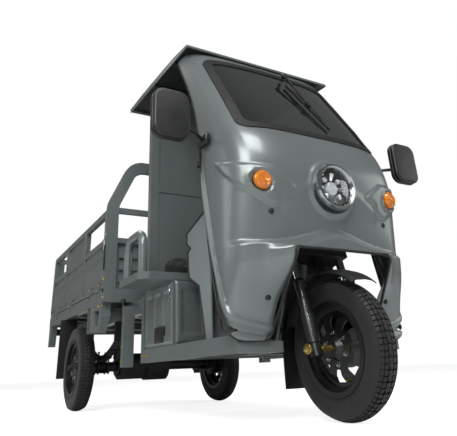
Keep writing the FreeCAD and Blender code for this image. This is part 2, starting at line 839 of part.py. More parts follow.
def cab_rear_wall():
    """Pressed sheet wall with deep side flanges and two stiffening swages."""
    pieces = [
        block("wall_skin", ("-395", "395"), ("wall_station", "wall_station + 6"), ("640", "1776")),
        block("wall_swage", ("-350", "350"), ("wall_station - 6", "wall_station"), ("1155", "1195")),
        block("wall_foot", ("-395", "395"), ("wall_station", "wall_station + 30"), ("640", "665")),
    ]
    for side in (1, -1):
        pieces.append(block("wall_flange", mirrored("350", "400", side),
                            ("wall_station - 6", "wall_station + 34"), ("640", "1776")))
    node("cab_rear_wall", fused("rear_wall", pieces))


def roof():
    """Cab roof sheet with turned-down side edges and a rear bar."""
    top = [("375", "1726"), ("560", "1757"), ("900", "1782"), ("1260", "1800"),
           ("1260", "1806"), ("900", "1790"), ("560", "1765"), ("375", "1734")]
    sheet_body = side_plate("roof_sheet", top, "-roof_half", "roof_half")
    edge = [("375", "1723"), ("560", "1735"), ("900", "1760"), ("1260", "1780"),
            ("1260", "1806"), ("900", "1790"), ("560", "1765"), ("375", "1734")]
    pieces = [sheet_body]
    for side in (1, -1):
        pieces.append(side_plate("roof_edge", edge, *mirrored("roof_half - 6", "roof_half", side)))
    pieces.append(rod("roof_bar", "11", ("-452", "1248", "1790"), ("452", "1248", "1790")))
    node("roof", fused("cab_roof", pieces))


def seat_box():
    """Open sheet-steel box under the seat, with pressed panels and a charging port."""
    walls = fused("box_walls", [
        block("box_front", ("-396", "396"), ("seat_front + 2", "seat_front + 6"), ("310", "599")),
        block("box_back", ("-396", "396"), ("1040", "1044"), ("310", "599")),
        block("box_left", ("392", "396"), ("seat_front + 2", "1044"), ("310", "599")),
        block("box_right", ("-396", "-392"), ("seat_front + 2", "1044"), ("310", "599")),
        block("box_floor", ("-396", "396"), ("seat_front + 2", "1044"), ("310", "314")),
        block("port_body", ("-404", "-392"), ("795", "855"), ("325", "400")),
    ])
    node("seat_box", walls)
    cells = block("battery", ("-300", "300"), ("740", "960"), ("318", "540"))
    node("battery_pack", together("battery_case", [cells]))


def seat_platform():
    """Folded deck over the box, wider than it, that carries the seat and its guards."""
    outline = [("-520", "seat_front"), ("520", "seat_front"), ("562", "seat_front + 40"),
               ("562", "seat_rear"), ("-562", "seat_rear"), ("-562", "seat_front + 40")]
    deck = padded_body("deck", "XY_Plane", outline, "600", "seat_top")
    node("seat_platform", deck)


def seat_guards():
    """A bent tube loop standing on each side of the deck."""
    loops = []
    for side in (1, -1):
        x = 530 * side
        path = [Vector(x, 735, 635), Vector(x, 735, 835), Vector(x, 955, 835), Vector(x, 955, 635)]
        loops.append(coded("guard_loop", bent_tube(path, 62, 22)))
    node("seat_guards", together("guards", loops))


CUSHION_ROUND = 22


def seat_cushion():
    cushion = block("cushion", ("-345", "345"), ("652", "985"), ("636", "758"))
    soft = doc.addObject("Part::Fillet", "cushion_round")
    soft.Base = cushion
    soft.Edges = [(number + 1, CUSHION_ROUND, CUSHION_ROUND) for number in range(12)]
    node("seat_cushion", soft)


def brake_pedal():
    """Foot pedal on a bent arm at the right of the floor."""
    arm = coded("pedal_arm", bent_tube([Vector(-150, 505, 292), Vector(-150, 505, 325),
                                        Vector(-150, 550, 362)], 16, 7))
    pad_plate = block("pedal_pad", ("-185", "-115"), ("530", "575"), ("358", "366"))
    node("brake_pedal", fused("pedal", [arm, pad_plate]))


# ---------------------------------------------------------------- cargo bed

SIDE_HINGES = (1425, 1630, 2140, 2580)
TAIL_HINGES = (-380, 0, 380)
KNUCKLE = 20
PIN_REACH = 34


def side_hinge_place(side):
    """Turns (out, up, along) of a dropside hinge into a place: out from the rail's face."""
    def place(out, up, along):
        x = f"{side} * (bed_half + {out})"
        return (x, along, f"rail_high + {up}")
    return place


def tail_hinge_place(out, up, along):
    return (along, f"bed_rear + {out}", f"rail_high + {up}")


def leaf_block(place, low, high):
    """A hinge leaf between two corners given as (out, up, along)."""
    ends = [place(*low), place(*high)]
    ranges = [sorted(pair, key=size) for pair in zip(*ends)]
    return block("hinge_leaf", *ranges)


def fixed_knuckle(place, along):
    """The bed's half of a hinge: a leaf below the rail's top, two knuckles and the pin."""
    pieces = [rod("hinge_pin", "3", place(6, 2, along - PIN_REACH), place(6, 2, along + PIN_REACH))]
    for way in (1, -1):
        near, far = along + way * (KNUCKLE + 1), along + way * PIN_REACH
        pieces.append(rod("knuckle", "6", place(6, 2, near), place(6, 2, far)))
        pieces.append(leaf_block(place, (-1, -40, near), (4, -1, far)))
    return pieces


def moving_knuckle(place, along):
    """The board's half of a hinge, and the bore that its pin turns in."""
    pieces = [rod("knuckle", "6", place(6, 2, along - KNUCKLE), place(6, 2, along + KNUCKLE)),
              leaf_block(place, (-1, 5, along - KNUCKLE), (4, 46, along + KNUCKLE))]
    bore = rod("pin_bore", "3.05", place(6, 2, along - KNUCKLE - 1), place(6, 2, along + KNUCKLE + 1))
    return pieces, bore


def hinged(name, pieces, place, stations):
    """A board with its hinge knuckles on it, bored for the pins."""
    bores = []
    for along in stations:
        more, bore = moving_knuckle(place, along)
        pieces += more
        bores.append(bore)
    return cut(name, fused(f"{name}_metal", pieces), fused(f"{name}_bores", bores))


def cargo_bed():
    """Welded floor with channel sides, cross bearers and hanging brackets."""
    pieces = [
        block("bed_floor", ("-515", "515"), ("bed_front + 1", "bed_rear - 44"),
              ("rail_high - 6", "rail_high")),
        block("bed_nose", ("-489", "489"), ("bed_front - 36", "bed_front + 1"),
              ("bed_low", "rail_high - 2")),
        block("bed_tail", ("-bed_half", "bed_half"), ("bed_rear - 44", "bed_rear"),
              ("bed_low", "rail_high - 2")),
    ]
    for index in range(5):
        station = f"bed_front + {260 + 260 * index}"
        pieces.append(block("bearer", ("-515", "515"), (station, f"{station} + 40"),
                            ("bed_low", "rail_high - 6")))
    for side in (1, -1):
        pieces.append(block("bed_rail", mirrored("bed_half - 40", "bed_half", side),
                            ("bed_front", "bed_rear"), ("bed_low", "rail_high - 2")))
        for station in SIDE_HINGES:
            pieces += fixed_knuckle(side_hinge_place(side), station)
    for across in TAIL_HINGES:
        pieces += fixed_knuckle(tail_hinge_place, across)
    node("cargo_bed", fused("bed", pieces))


def bed_brackets():
    """Pressed gussets below the side rails and the rear corner brackets."""
    group = []
    front = [("bed_front + 4", "bed_low"), ("bed_front + 4", "500"), ("bed_front + 70", "418"),
             ("bed_front + 255", "432"), ("bed_front + 271", "bed_low")]
    hole = [("bed_front + 70", "545"), ("bed_front + 80", "455"), ("bed_front + 150", "462"),
            ("bed_front + 170", "545")]
    rear = [("2290", "bed_low"), ("2296", "428"), ("2320", "428"), ("2380", "bed_low")]
    tail = [("2790", "bed_low"), ("2812", "426"), ("2860", "426"), ("2860", "bed_low")]
    for side in (1, -1):
        x = mirrored("500", "bed_half - 2", side)
        gusset = side_plate("gusset", front, *x)
        pocket(gusset, "YZ_Plane", hole, "-bed_half", "bed_half")
        group.append(gusset)
        group.append(block("wheel_splash", mirrored("430", "bed_half - 2", side),
                           ("1640", "1652"), ("430", "bed_low")))
        for outline in (rear, tail):
            group.append(side_plate("bracket", outline, *x))
    node("bed_gussets", together("gussets", group))


def rear_mudflaps():
    flaps = [block("flap", mirrored("462", "580", side), ("2276", "2281"), ("190", "576"))
             for side in (1, -1)]
    node("rear_mudflaps", together("flaps", flaps))


def tail_lamps():
    lamps = [block("tail_lamp", mirrored("420", "510", side), ("2864", "2900"), ("515", "565"))
             for side in (1, -1)]
    node("tail_lamps", together("tail_pair", lamps))


def head_guard():
    """Bent hoop at the front of the bed with a cross-bar."""
    outer = [("-557", "bed_low"), ("-557", "1155"), ("-425", "1452"),
             ("425", "1452"), ("557", "1155"), ("557", "bed_low")]
    inner = [("490", "bed_low"), ("490", "1140"), ("380", "1384"),
             ("-380", "1384"), ("-490", "1140"), ("-490", "bed_low")]
    paths = [bent_path([spot(x, "bed_front - 38", z) for x, z in points], radius)
             for points, radius in ((outer, 130), (inner, 85))]
    ends = [wire.Vertexes for wire in paths]
    feet = [Part.makeLine(ends[0][-1].Point, ends[1][0].Point),
            Part.makeLine(ends[1][-1].Point, ends[0][0].Point)]
    ring = Part.Wire(paths[0].Edges + [feet[0]] + paths[1].Edges + [feet[1]])
    hoop = coded("hoop", Part.Face(ring).extrude(Vector(0, 36, 0)))
    bar = block("hoop_bar", ("-495", "495"), ("bed_front - 30", "bed_front - 10"), ("1100", "1135"))
    node("head_guard", fused("guard", [hoop, bar]))


def front_board():
    pieces = [
        block("front_skin", ("-489", "489"), ("bed_front - 8", "bed_front - 5"),
              ("rail_high + 1", "board_mid")),
        block("front_top", ("-489", "489"), ("bed_front - 34", "bed_front - 5"),
              ("board_mid - 30", "board_mid")),
    ]
    for low in (690, 760, 830):
        pieces.append(block("front_rib", ("-470", "470"), ("bed_front - 26", "bed_front - 5"),
                            (str(low), str(low + 32))))
    node("cargo_front_board", fused("front_wall", pieces))


def board_parts(span, dividers, place):
    """Pieces of one dropside: skin, frame, ribs, window posts and the middle plate."""
    low, high = span
    rows = [
        (span, ("0", "board_skin"), ("board_low", "board_mid")),
        (span, ("0", "board_depth"), ("board_low", "board_low + 22")),
        (span, ("0", "board_depth"), ("board_mid - 34", "board_mid")),
        (span, ("4", "board_depth"), ("board_top - 36", "board_top")),
        (span, ("0", "20"), ("745", "775")),
        (span, ("0", "20"), ("835", "865")),
    ]
    posts = [(low, f"{low} + 32"), (f"{high} - 32", high)]
    posts += [(f"{station} - 18", f"{station} + 18") for station in dividers]
    rows += [(post, ("0", "board_depth"), ("board_low", "board_top")) for post in posts]
    if len(dividers) == 2:
        rows.append(((dividers[0], dividers[1]), ("14", "17"), ("board_mid", "board_top - 36")))
    return [place(along, deep, up) for along, deep, up in rows]


def side_boards():
    for side, tag in ((1, "left"), (-1, "right")):
        def place(along, deep, up, side=side):
            near = f"bed_half - board_depth + {deep[0]}"
            far = f"bed_half - board_depth + {deep[1]}"
            return block("board_piece", mirrored(near, far, side), along, up)
        pieces = board_parts(("bed_front + 8", "bed_rear - 6"), ("1835", "2378"), place)
        board = hinged(f"dropside_{tag}", pieces, side_hinge_place(side), SIDE_HINGES)
        node(f"{tag}_side_board", board)


def tailgate():
    def place(along, deep, up):
        near = f"bed_rear - board_depth + {deep[0]}"
        far = f"bed_rear - board_depth + {deep[1]}"
        return block("gate_piece", along, (near, far), up)
    edge = "bed_half - board_depth - 7"
    pieces = board_parts((f"-({edge})", edge), ("0",), place)
    node("tailgate", hinged("gate", pieces, tail_hinge_place, TAIL_HINGES))


def main():
    for make in (wheels, chassis_frame, rear_axle, leaf_springs, shock_absorbers, steering_stem,
                 fork, front_fender, handlebar, cab_shell, headlamp, turn_signals, mirrors, wiper,
                 inner_panel, floor_and_splash, cab_rear_wall, roof, seat_box, seat_platform,
                 seat_guards, seat_cushion, brake_pedal, cargo_bed, bed_brackets, rear_mudflaps,
                 tail_lamps, head_guard, front_board, side_boards, tailgate):
        make()
    doc.recompute()
    failed = [item.Label for item in doc.Objects if {"Invalid", "Error"} & set(item.State)]
    failed += [item.Label for item in NODES if item.Shape.isNull() or not item.Shape.isValid()]
    if failed:
        raise SystemExit(f"these did not build: {sorted(set(failed))}")
    os.makedirs("parts", exist_ok=True)
    low, high = 1e9, -1e9
    for item in NODES:
        box = item.Shape.BoundBox
        low, high = min(low, box.YMin), max(high, box.YMax)
        print(f"{item.Label:20s} solids {len(item.Shape.Solids):2d}  volume {item.Shape.Volume / 1e6:9.2f}"
              f"  y {box.YMin:8.1f} {box.YMax:8.1f}  z {box.ZMin:7.1f} {box.ZMax:7.1f}")
        item.Shape.exportStep(f"parts/{item.Label}.step")
    print(f"stations run from {low:.2f} to {high:.2f}: {len(NODES)} sub-parts")


main()
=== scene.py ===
import math
import bpy
from mathutils import Matrix, Vector


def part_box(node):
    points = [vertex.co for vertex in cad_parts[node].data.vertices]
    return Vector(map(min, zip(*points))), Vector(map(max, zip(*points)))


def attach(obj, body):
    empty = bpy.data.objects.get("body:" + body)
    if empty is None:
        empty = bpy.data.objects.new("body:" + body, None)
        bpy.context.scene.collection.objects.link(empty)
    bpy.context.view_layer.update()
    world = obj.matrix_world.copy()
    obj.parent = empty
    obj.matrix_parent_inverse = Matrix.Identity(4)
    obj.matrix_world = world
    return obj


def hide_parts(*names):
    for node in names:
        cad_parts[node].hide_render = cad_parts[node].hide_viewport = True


# Electric cargo tricycle: finishes, lamps, tread, cushion and trim around the fixed frame.
#
# Metres. +Z is up, +Y points to the rear, +X is the rider's left hand. Places come from
# the frame's own boxes; stations along Y are measured from the front axle.

MM = 0.001

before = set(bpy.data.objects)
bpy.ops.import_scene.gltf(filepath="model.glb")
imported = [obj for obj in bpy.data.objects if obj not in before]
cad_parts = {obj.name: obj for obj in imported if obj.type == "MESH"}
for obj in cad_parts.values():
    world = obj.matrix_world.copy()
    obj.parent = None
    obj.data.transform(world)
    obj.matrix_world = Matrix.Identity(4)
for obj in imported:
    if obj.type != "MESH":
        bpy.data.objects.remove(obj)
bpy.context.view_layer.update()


def low_of(node):
    return Vector(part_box(node)[0])


def high_of(node):
    return Vector(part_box(node)[1])


def middle_of(node):
    return (low_of(node) + high_of(node)) / 2


FRONT_HUB = middle_of("front_wheel_rim")
TYRE_RADIUS = (high_of("front_wheel_tyre").z - low_of("front_wheel_tyre").z) / 2


def at(x, station, z):
    """A point in millimetres: across, behind the front axle, above the floor."""
    return Vector((x * MM, FRONT_HUB.y + station * MM, z * MM))


# ---------------------------------------------------------------- materials


def linear(code):
    """An sRGB hex colour as linear light."""
    parts = [int(code[i:i + 2], 16) / 255 for i in (1, 3, 5)]
    return [p / 12.92 if p <= 0.04045 else ((p + 0.055) / 1.055) ** 2.4 for p in parts] + [1]


def add(tree, kind, feeds=None, **settings):
    """Adds a node with its settings, then gives each input a value or another node's output."""
    node = tree.nodes.new("ShaderNode" + kind)
    for name, value in settings.items():
        setattr(node, name, value)
    for name, value in (feeds or {}).items():
        if isinstance(value, bpy.types.NodeSocket):
            tree.links.new(value, node.inputs[name])
        else:
            node.inputs[name].default_value = value
    return node


def begin(name):
    """A new material: its tree, its shader and the coordinates its patterns follow."""
    material = bpy.data.materials.new(name)
    material.use_nodes = True
    tree = material.node_tree
    tree.nodes.clear()
    place = add(tree, "TexCoord").outputs["Object"]
    shader = add(tree, "BsdfPrincipled")
    add(tree, "OutputMaterial", {"Surface": shader.outputs["BSDF"]})
    return material, tree, shader, place


def surface(tree, shader, place, dark, light, patch, rough, grain, depth):
    """Colour that drifts over patches, roughness that drifts with it, and a fine relief.

    patch and grain are real sizes in millimetres, depth is the relief's height in millimetres.
    """
    drift = add(tree, "TexNoise", {"Vector": place, "Scale": 1 / (patch * MM), "Detail": 4})
    tone = add(tree, "Mix", {0: drift.outputs["Fac"], 6: linear(dark), 7: linear(light)},
               data_type="RGBA")
    tree.links.new(tone.outputs[2], shader.inputs["Base Color"])
    gloss = add(tree, "MapRange", {"Value": drift.outputs["Fac"], "From Min": 0.3, "From Max": 0.7,
                                   "To Min": rough[0], "To Max": rough[1]})
    tree.links.new(gloss.outputs["Result"], shader.inputs["Roughness"])
    relief = add(tree, "TexNoise", {"Vector": place, "Scale": 1 / (grain * MM), "Detail": 2})
    bump = add(tree, "Bump", {"Height": relief.outputs["Fac"], "Distance": depth * MM,
                              "Strength": 1})
    tree.links.new(bump.outputs["Normal"], shader.inputs["Normal"])
    return bump


def coated(name, dark, light, patch, rough, grain, depth, inputs=None):
    """A material of one drifting surface, with values for its shader's other inputs."""
    material, tree, shader, place = begin(name)
    surface(tree, shader, place, dark, light, patch, rough, grain, depth)
    for key, value in (inputs or {}).items():
        shader.inputs[key].default_value = value
    return material


def baked_enamel():
    """Metallic grey-green baked enamel, sprayed on pressed steel: a satin flake under a thin
    clear coat, with the faint ripple that a sprayed coat keeps."""
    return coated("baked_enamel_metallic_grey_satin", "#686f6e", "#727978", 260, (0.30, 0.38), 9,
                  0.05, {"Metallic": 0.35, "Coat Weight": 0.35, "Coat Roughness": 0.12})


def powder_coat():
    """Black powder coat, cured on steel: fine pebble, half gloss."""
    return coated("powder_coat_black_half_gloss", "#0e0f10", "#17181a", 60, (0.28, 0.40), 1.6,
                  0.06, {"IOR": 1.52})


def chassis_paint():
    """Brushed-on black chassis enamel with road dust: dull, greyer in patches."""
    return coated("chassis_enamel_black_dusty", "#121314", "#25262a", 35, (0.45, 0.62), 2.5, 0.12)


def tyre_rubber():
    """Vulcanised carbon-black rubber: dull, a little grey where it has rolled."""
    return coated("tyre_rubber_carbon_black", "#0b0c0d", "#161719", 18, (0.55, 0.72), 1.2, 0.10,
                  {"Sheen Weight": 0.08})


def soft_rubber():
    """Moulded EPDM rubber: even, dull black."""
    return coated("epdm_rubber_moulded_black", "#070708", "#0f1011", 30, (0.48, 0.62), 1.0, 0.05)


def tinted_glass():
    """Laminated glass with a grey-green body tint: clear gloss, dark against the cab."""
    return coated("laminated_glass_grey_tint", "#48524f", "#4f5956", 300, (0.01, 0.03), 400, 0.02,
                  {"Transmission Weight": 0.92, "IOR": 1.5, "Coat Weight": 0.6})


def chrome():
    """Hard chrome plate, ground and polished: bright, with faint polishing haze."""
    return coated("chrome_plate_polished", "#c9cccd", "#dfe1e2", 25, (0.06, 0.13), 0.8, 0.004,
                  {"Metallic": 1})


def zinc_plate():
    """Yellow-passivated zinc on fasteners: brassy, a little clouded."""
    return coated("zinc_plate_yellow_passivated", "#9c8748", "#cbb878", 6, (0.28, 0.42), 0.7,
                  0.02, {"Metallic": 1})


def cast_iron():
    """Painted axle casting: coarse cast skin under dull black paint."""
    return coated("cast_iron_painted_black", "#141414", "#232323", 20, (0.50, 0.66), 2.2, 0.25)


def moulded_abs():
    """Injection-moulded black ABS with an etched leather grain."""
    return coated("abs_moulded_black_grained", "#101112", "#191a1c", 80, (0.38, 0.50), 1.1, 0.08)


def grey_moulding():
    """Injection-moulded polypropylene, grey: satin with a very fine spark grain."""
    return coated("polypropylene_moulded_grey", "#747b7b", "#7f8686", 160, (0.40, 0.50), 1.0, 0.05)


def lens(name, dark, light):
    """Coloured acrylic lens: deep glossy colour, light comes back through it."""
    return coated(name, dark, light, 12, (0.06, 0.12), 3, 0.08,
                  {"Transmission Weight": 0.35, "IOR": 1.49, "Coat Weight": 0.5})


def clear_lens():
    """Clear polycarbonate lens: hard gloss, hardly any tint."""
    return coated("polycarbonate_lens_clear", "#f4f6f7", "#fafbfb", 50, (0.01, 0.03), 60, 0.01,
                  {"Transmission Weight": 1, "IOR": 1.58})


def satin_bezel():
    """Steel bezel under satin chrome: brighter than paint, softer than polished plate."""
    return coated("steel_bezel_satin_chrome", "#9aa0a0", "#abb1b1", 30, (0.16, 0.24), 1, 0.006,
                  {"Metallic": 1})


def pearl_cap():
    """Plain cap in pearl-white acrylic, a little milky."""
    return coated("acrylic_cap_pearl_white", "#dfe3ea", "#eef0f5", 20, (0.12, 0.2), 2, 0.01,
                  {"Coat Weight": 0.4})


def reflector_glow():
    """Small vacuum-metallised reflectors: bright white metal under the lens."""
    return coated("aluminised_reflector_bright", "#eceff2", "#f8f9fb", 5, (0.10, 0.2), 1, 0.01,
                  {"Metallic": 0.6})


def seat_vinyl():
    """Knit-backed PVC seat cover, embossed leather grain, soft half gloss."""
    material, tree, shader, place = begin("pvc_leather_black_embossed")
    bump = surface(tree, shader, place, "#0f1011", "#191a1b", 45, (0.34, 0.48), 5, 0.3)
    pores = add(tree, "TexVoronoi", {"Vector": place, "Scale": 1 / (2.2 * MM)},
                feature="DISTANCE_TO_EDGE")
    grain = add(tree, "Bump", {"Height": pores.outputs["Distance"], "Distance": 0.35 * MM,
                               "Strength": 0.8, "Normal": bump.outputs["Normal"]})
    tree.links.new(grain.outputs["Normal"], shader.inputs["Normal"])
    return material


def studio_floor():
    """Seamless pale paper: near white to the eye, and it keeps a soft shadow."""
    material, tree, shader, place = begin("studio_paper_white")
    surface(tree, shader, place, "#e6e7e8", "#eaebec", 900, (0.85, 0.9), 3, 0.01)
    rays = add(tree, "LightPath")
    seen = add(tree, "Math", {0: rays.outputs["Is Camera Ray"],
                              1: rays.outputs["Is Transmission Ray"]},
               operation="ADD", use_clamp=True)
    lift = add(tree, "Math", {0: seen.outputs[0], 1: 0.8}, operation="MULTIPLY")
    shader.inputs["Emission Color"].default_value = (1, 1, 1, 1)
    tree.links.new(lift.outputs[0], shader.inputs["Emission Strength"])
    return material


FINISHES = {
    "paint": baked_enamel(), "powder": powder_coat(), "chassis": chassis_paint(),
    "tyre": tyre_rubber(), "rubber": soft_rubber(), "glass": tinted_glass(), "chrome": chrome(),
    "zinc": zinc_plate(), "casting": cast_iron(), "abs": moulded_abs(), "moulding": grey_moulding(),
    "amber": lens("acrylic_lens_amber", "#e07608", "#ff9c1c"),
    "red": lens("acrylic_lens_red", "#8e0f0d", "#c3211a"), "vinyl": seat_vinyl(),
    "clear": clear_lens(), "bezel": satin_bezel(), "pearl": pearl_cap(),
    "glow": reflector_glow(),
}

# The frame's own nodes, by the finish they take.
NODES_BY_FINISH = {
    "paint": ("chassis_frame", "front_fairing", "floor_pan", "cab_rear_wall", "roof", "seat_box",
              "seat_platform", "seat_guards", "cargo_bed", "bed_gussets", "head_guard",
              "cargo_front_board", "left_side_board", "right_side_board", "tailgate"),
    "powder": ("front_wheel_rim", "rear_wheel_left_rim", "rear_wheel_right_rim", "fork_sliders",
               "handlebar", "wiper", "brake_pedal"),
    "chassis": ("leaf_springs", "shock_absorbers", "steering_stem"),
    "tyre": ("front_wheel_tyre", "rear_wheel_left_tyre", "rear_wheel_right_tyre"),
    "rubber": ("grips", "windshield_seal", "rear_mudflaps"),
    "abs": ("front_fender", "mirrors", "splash_panel", "battery_pack"),
    "chrome": ("fork_tubes", "headlamp"), "glass": ("windshield",), "zinc": ("front_axle",),
    "casting": ("rear_axle",), "amber": ("turn_signals",), "moulding": ("inner_panel",),
    "vinyl": ("seat_cushion",), "red": ("tail_lamps",),
}


def finish_nodes():
    for finish, nodes in NODES_BY_FINISH.items():
        for node in nodes:
            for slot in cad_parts[node].material_slots:
                slot.material = FINISHES[finish]


# ---------------------------------------------------------------- ways of making a piece


SIDES = ((1, "left"), (-1, "right"))

# Points closer than this, in metres, are one. Pressed sheet, in millimetres.
WELD = 0.00005
SHEET = 1.2


def alone(piece):
    """Makes one piece the only selected and active object."""
    bpy.ops.object.select_all(action="DESELECT")
    piece.select_set(True)
    bpy.context.view_layer.objects.active = piece
    return piece


def settle(piece):
    """Applies a piece's modifiers, then puts its place and turn into its mesh."""
    alone(piece)
    for modifier in list(piece.modifiers):
        bpy.ops.object.modifier_apply(modifier=modifier.name)
    bpy.ops.object.transform_apply(location=True, rotation=True, scale=True)
    return piece


def set_down(piece, place):
    """Puts a piece in place by a matrix."""
    piece.matrix_world = place
    return settle(piece)


def fresh(add_primitive, **settings):
    """A new primitive mesh, alone in the selection."""
    bpy.ops.object.select_all(action="DESELECT")
    add_primitive(**settings)
    return bpy.context.object


def linked(name, data):
    """A new object round a mesh or curve, alone in the selection."""
    piece = bpy.data.objects.new(name, data)
    bpy.context.collection.objects.link(piece)
    return alone(piece)


def mesh_piece(name, points, edges, faces):
    mesh = bpy.data.meshes.new(name)
    mesh.from_pydata(points, edges, faces)
    return linked(name, mesh)


def edited(*steps):
    """Takes each step in edit mode on the whole active mesh, then turns its faces outwards."""
    bpy.ops.object.mode_set(mode="EDIT")
    for step in steps:
        bpy.ops.mesh.select_all(action="SELECT")
        step()
    bpy.ops.mesh.select_all(action="SELECT")
    bpy.ops.mesh.normals_make_consistent(inside=False)
    bpy.ops.object.mode_set(mode="OBJECT")


def walled(sheet, thick):
    """Gives a sheet a wall in millimetres behind its face."""
    wall = sheet.modifiers.new("wall", "SOLIDIFY")
    wall.thickness = thick * MM
    wall.offset = -1
    return settle(sheet)


def shown(piece, name, finish, body, smooth=32, stands_for=()):
    """Names a finished piece, gives it its material and slot, and sets it on its body."""
    settle(piece)
    piece.name = piece.data.name = name
    piece.data.materials.clear()
    piece.data.materials.append(FINISHES[finish])
    for face in piece.data.polygons:
        face.material_index = 0
    bpy.ops.object.shade_smooth_by_angle(angle=math.radians(smooth))
    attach(piece, body)
    for node in stands_for:
        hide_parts(node)
    return piece


def joined(pieces):
    """Several pieces as one mesh, with their places kept."""
    for piece in pieces:
        settle(piece)
    bpy.ops.object.select_all(action="DESELECT")
    for piece in pieces:
        piece.select_set(True)
    bpy.context.view_layer.objects.active = pieces[0]
    if len(pieces) > 1:
        bpy.ops.object.join()
    return pieces[0]


def copied(template, places):
    """A template repeated at each matrix, each with its own mesh, and joined."""
    settle(template)
    twins = []
    for place in places:
        twin = template.copy()
        twin.data = template.data.copy()
        twin.matrix_world = place
        bpy.context.collection.objects.link(twin)
        twins.append(twin)
    bpy.data.objects.remove(template)
    return joined(twins)


def eased(piece, width, segments=2, angle=30):
    """Rounds the piece's sharp edges by a width in millimetres."""
    bevel = piece.modifiers.new("ease", "BEVEL")
    bevel.width = width * MM
    bevel.segments = segments
    bevel.limit_method = "ANGLE"
    bevel.angle_limit = math.radians(angle)
    return settle(piece)


def bar(low, high, ease=1.5):
    """A square bar or block between two corners in metres, with its edges eased."""
    low, high = Vector(low), Vector(high)
    piece = fresh(bpy.ops.mesh.primitive_cube_add, size=1, location=(low + high) / 2)
    piece.scale = high - low
    return eased(settle(piece), ease)


def outline_plate(corners, thick, ease=0.0, place=None):
    """A flat outline in millimetres, thick along its own Z, put in place by a matrix."""
    piece = fresh(bpy.ops.mesh.primitive_circle_add, vertices=len(corners), fill_type="NGON")
    for vertex, (u, v) in zip(piece.data.vertices, corners):
        vertex.co = (u * MM, v * MM, 0)
    edited(lambda: bpy.ops.mesh.extrude_region_move(
        TRANSFORM_OT_translate={"value": (0, 0, thick * MM)}))
    if ease:
        eased(piece, ease)
    return set_down(piece, place) if place else piece


def turned(profile, place=None, steps=64):
    """A profile of (radius, along) in millimetres turned about its own Z axis."""
    points = [(radius * MM, 0, along * MM) for radius, along in profile]
    piece = mesh_piece("profile", points, [(i, i + 1) for i in range(len(points) - 1)], [])
    edited(lambda: bpy.ops.mesh.spin(steps=steps, angle=2 * math.pi, center=(0, 0, 0),
                                     axis=(0, 0, 1)),
           lambda: bpy.ops.mesh.remove_doubles(threshold=WELD))
    return set_down(piece, place) if place else piece


def aimed(place, along):
    """A matrix that puts a piece's Z axis along a direction at a point."""
    return Matrix.Translation(place) @ Vector(along).to_track_quat("Z", "Y").to_matrix().to_4x4()


def facing(place, out):
    """A matrix at a point whose Z points level outwards and whose Y is upright."""
    out, up = Vector(out).normalized(), Vector((0, 0, 1))
    return Matrix.Translation(place) @ Matrix((up.cross(out), up, out)).transposed().to_4x4()


def flank(side, across, station, height):
    """A matrix on the left (1) or right (-1) flank whose Z points outwards."""
    return facing(at(across * side, station, height), (side, 0, 0))


def side_plane(across):
    """A matrix that stands outlines of (station, height) up at a distance across in metres."""
    return Matrix(((0, 0, 1, across), (1, 0, 0, FRONT_HUB.y), (0, 1, 0, 0), (0, 0, 0, 1)))


def rounded(width, height, radius, steps=5):
    """A rectangle's outline about its middle, with round corners."""
    points = []
    for turn, (u, v) in enumerate(((1, 1), (-1, 1), (-1, -1), (1, -1))):
        for step in range(steps + 1):
            angle = (turn + step / steps) * math.pi / 2
            points.append((u * (width / 2 - radius) + radius * math.cos(angle),
                           v * (height / 2 - radius) + radius * math.sin(angle)))
    return points


def pressing(wide, tall, height_at, place, step=7):
    """A sheet in millimetres, pressed out to a height at each point, put in place by a matrix."""
    sheet = fresh(bpy.ops.mesh.primitive_grid_add, x_subdivisions=round(wide / step),
                  y_subdivisions=round(tall / step), size=2)
    for vertex in sheet.data.vertices:
        u, v = vertex.co.x * wide / 2, vertex.co.y * tall / 2
        vertex.co = (u * MM, v * MM, height_at(u, v) * MM)
    return set_down(walled(sheet, SHEET), place)


def rounded_route(points, radius, steps=8):
    """Points joined by straight runs whose corners are arcs of one radius in millimetres."""
    route = [points[0]]
    for before, corner, after in zip(points, points[1:], points[2:]):
        back = (before - corner).normalized()
        front = (after - corner).normalized()
        half = back.angle(front) / 2
        reach = radius * MM / math.tan(half)
        centre = corner + (back + front).normalized() * (radius * MM / math.sin(half))
        enter, leave = corner + back * reach - centre, corner + front * reach - centre
        for step in range(steps + 1):
            route.append(centre + enter.slerp(leave, step / steps).normalized() * radius * MM)
    return route + [points[-1]]


def tube(route, radius, closed=False, sides=16):
    """A round tube of a radius in millimetres along a route."""
    curve = bpy.data.curves.new("route", "CURVE")
    curve.dimensions = "3D"
    line = curve.splines.new("POLY")
    line.points.add(len(route) - 1)
    for point, place in zip(line.points, route):
        point.co = (*place, 1)
    line.use_cyclic_u = closed
    curve.bevel_depth = radius * MM
    curve.bevel_resolution = sides // 4 - 1
    curve.use_fill_caps = not closed
    linked("tube", curve)
    bpy.ops.object.convert(target="MESH")
    return bpy.context.object


def hexagon_bolt(radius, height):
    """A flanged hexagon head, its face domed, standing on its own Z axis."""
    flange = turned([(0, 0), (radius * 1.35, 0), (radius * 1.3, height * 0.2), (0, height * 0.25)],
                    steps=24)
    head = fresh(bpy.ops.mesh.primitive_cylinder_add, vertices=6, radius=radius * MM,
                 depth=height * MM, location=(0, 0, height * MM / 2))
    return joined([flange, eased(head, radius * 0.12)])


# ---------------------------------------------------------------- front shell

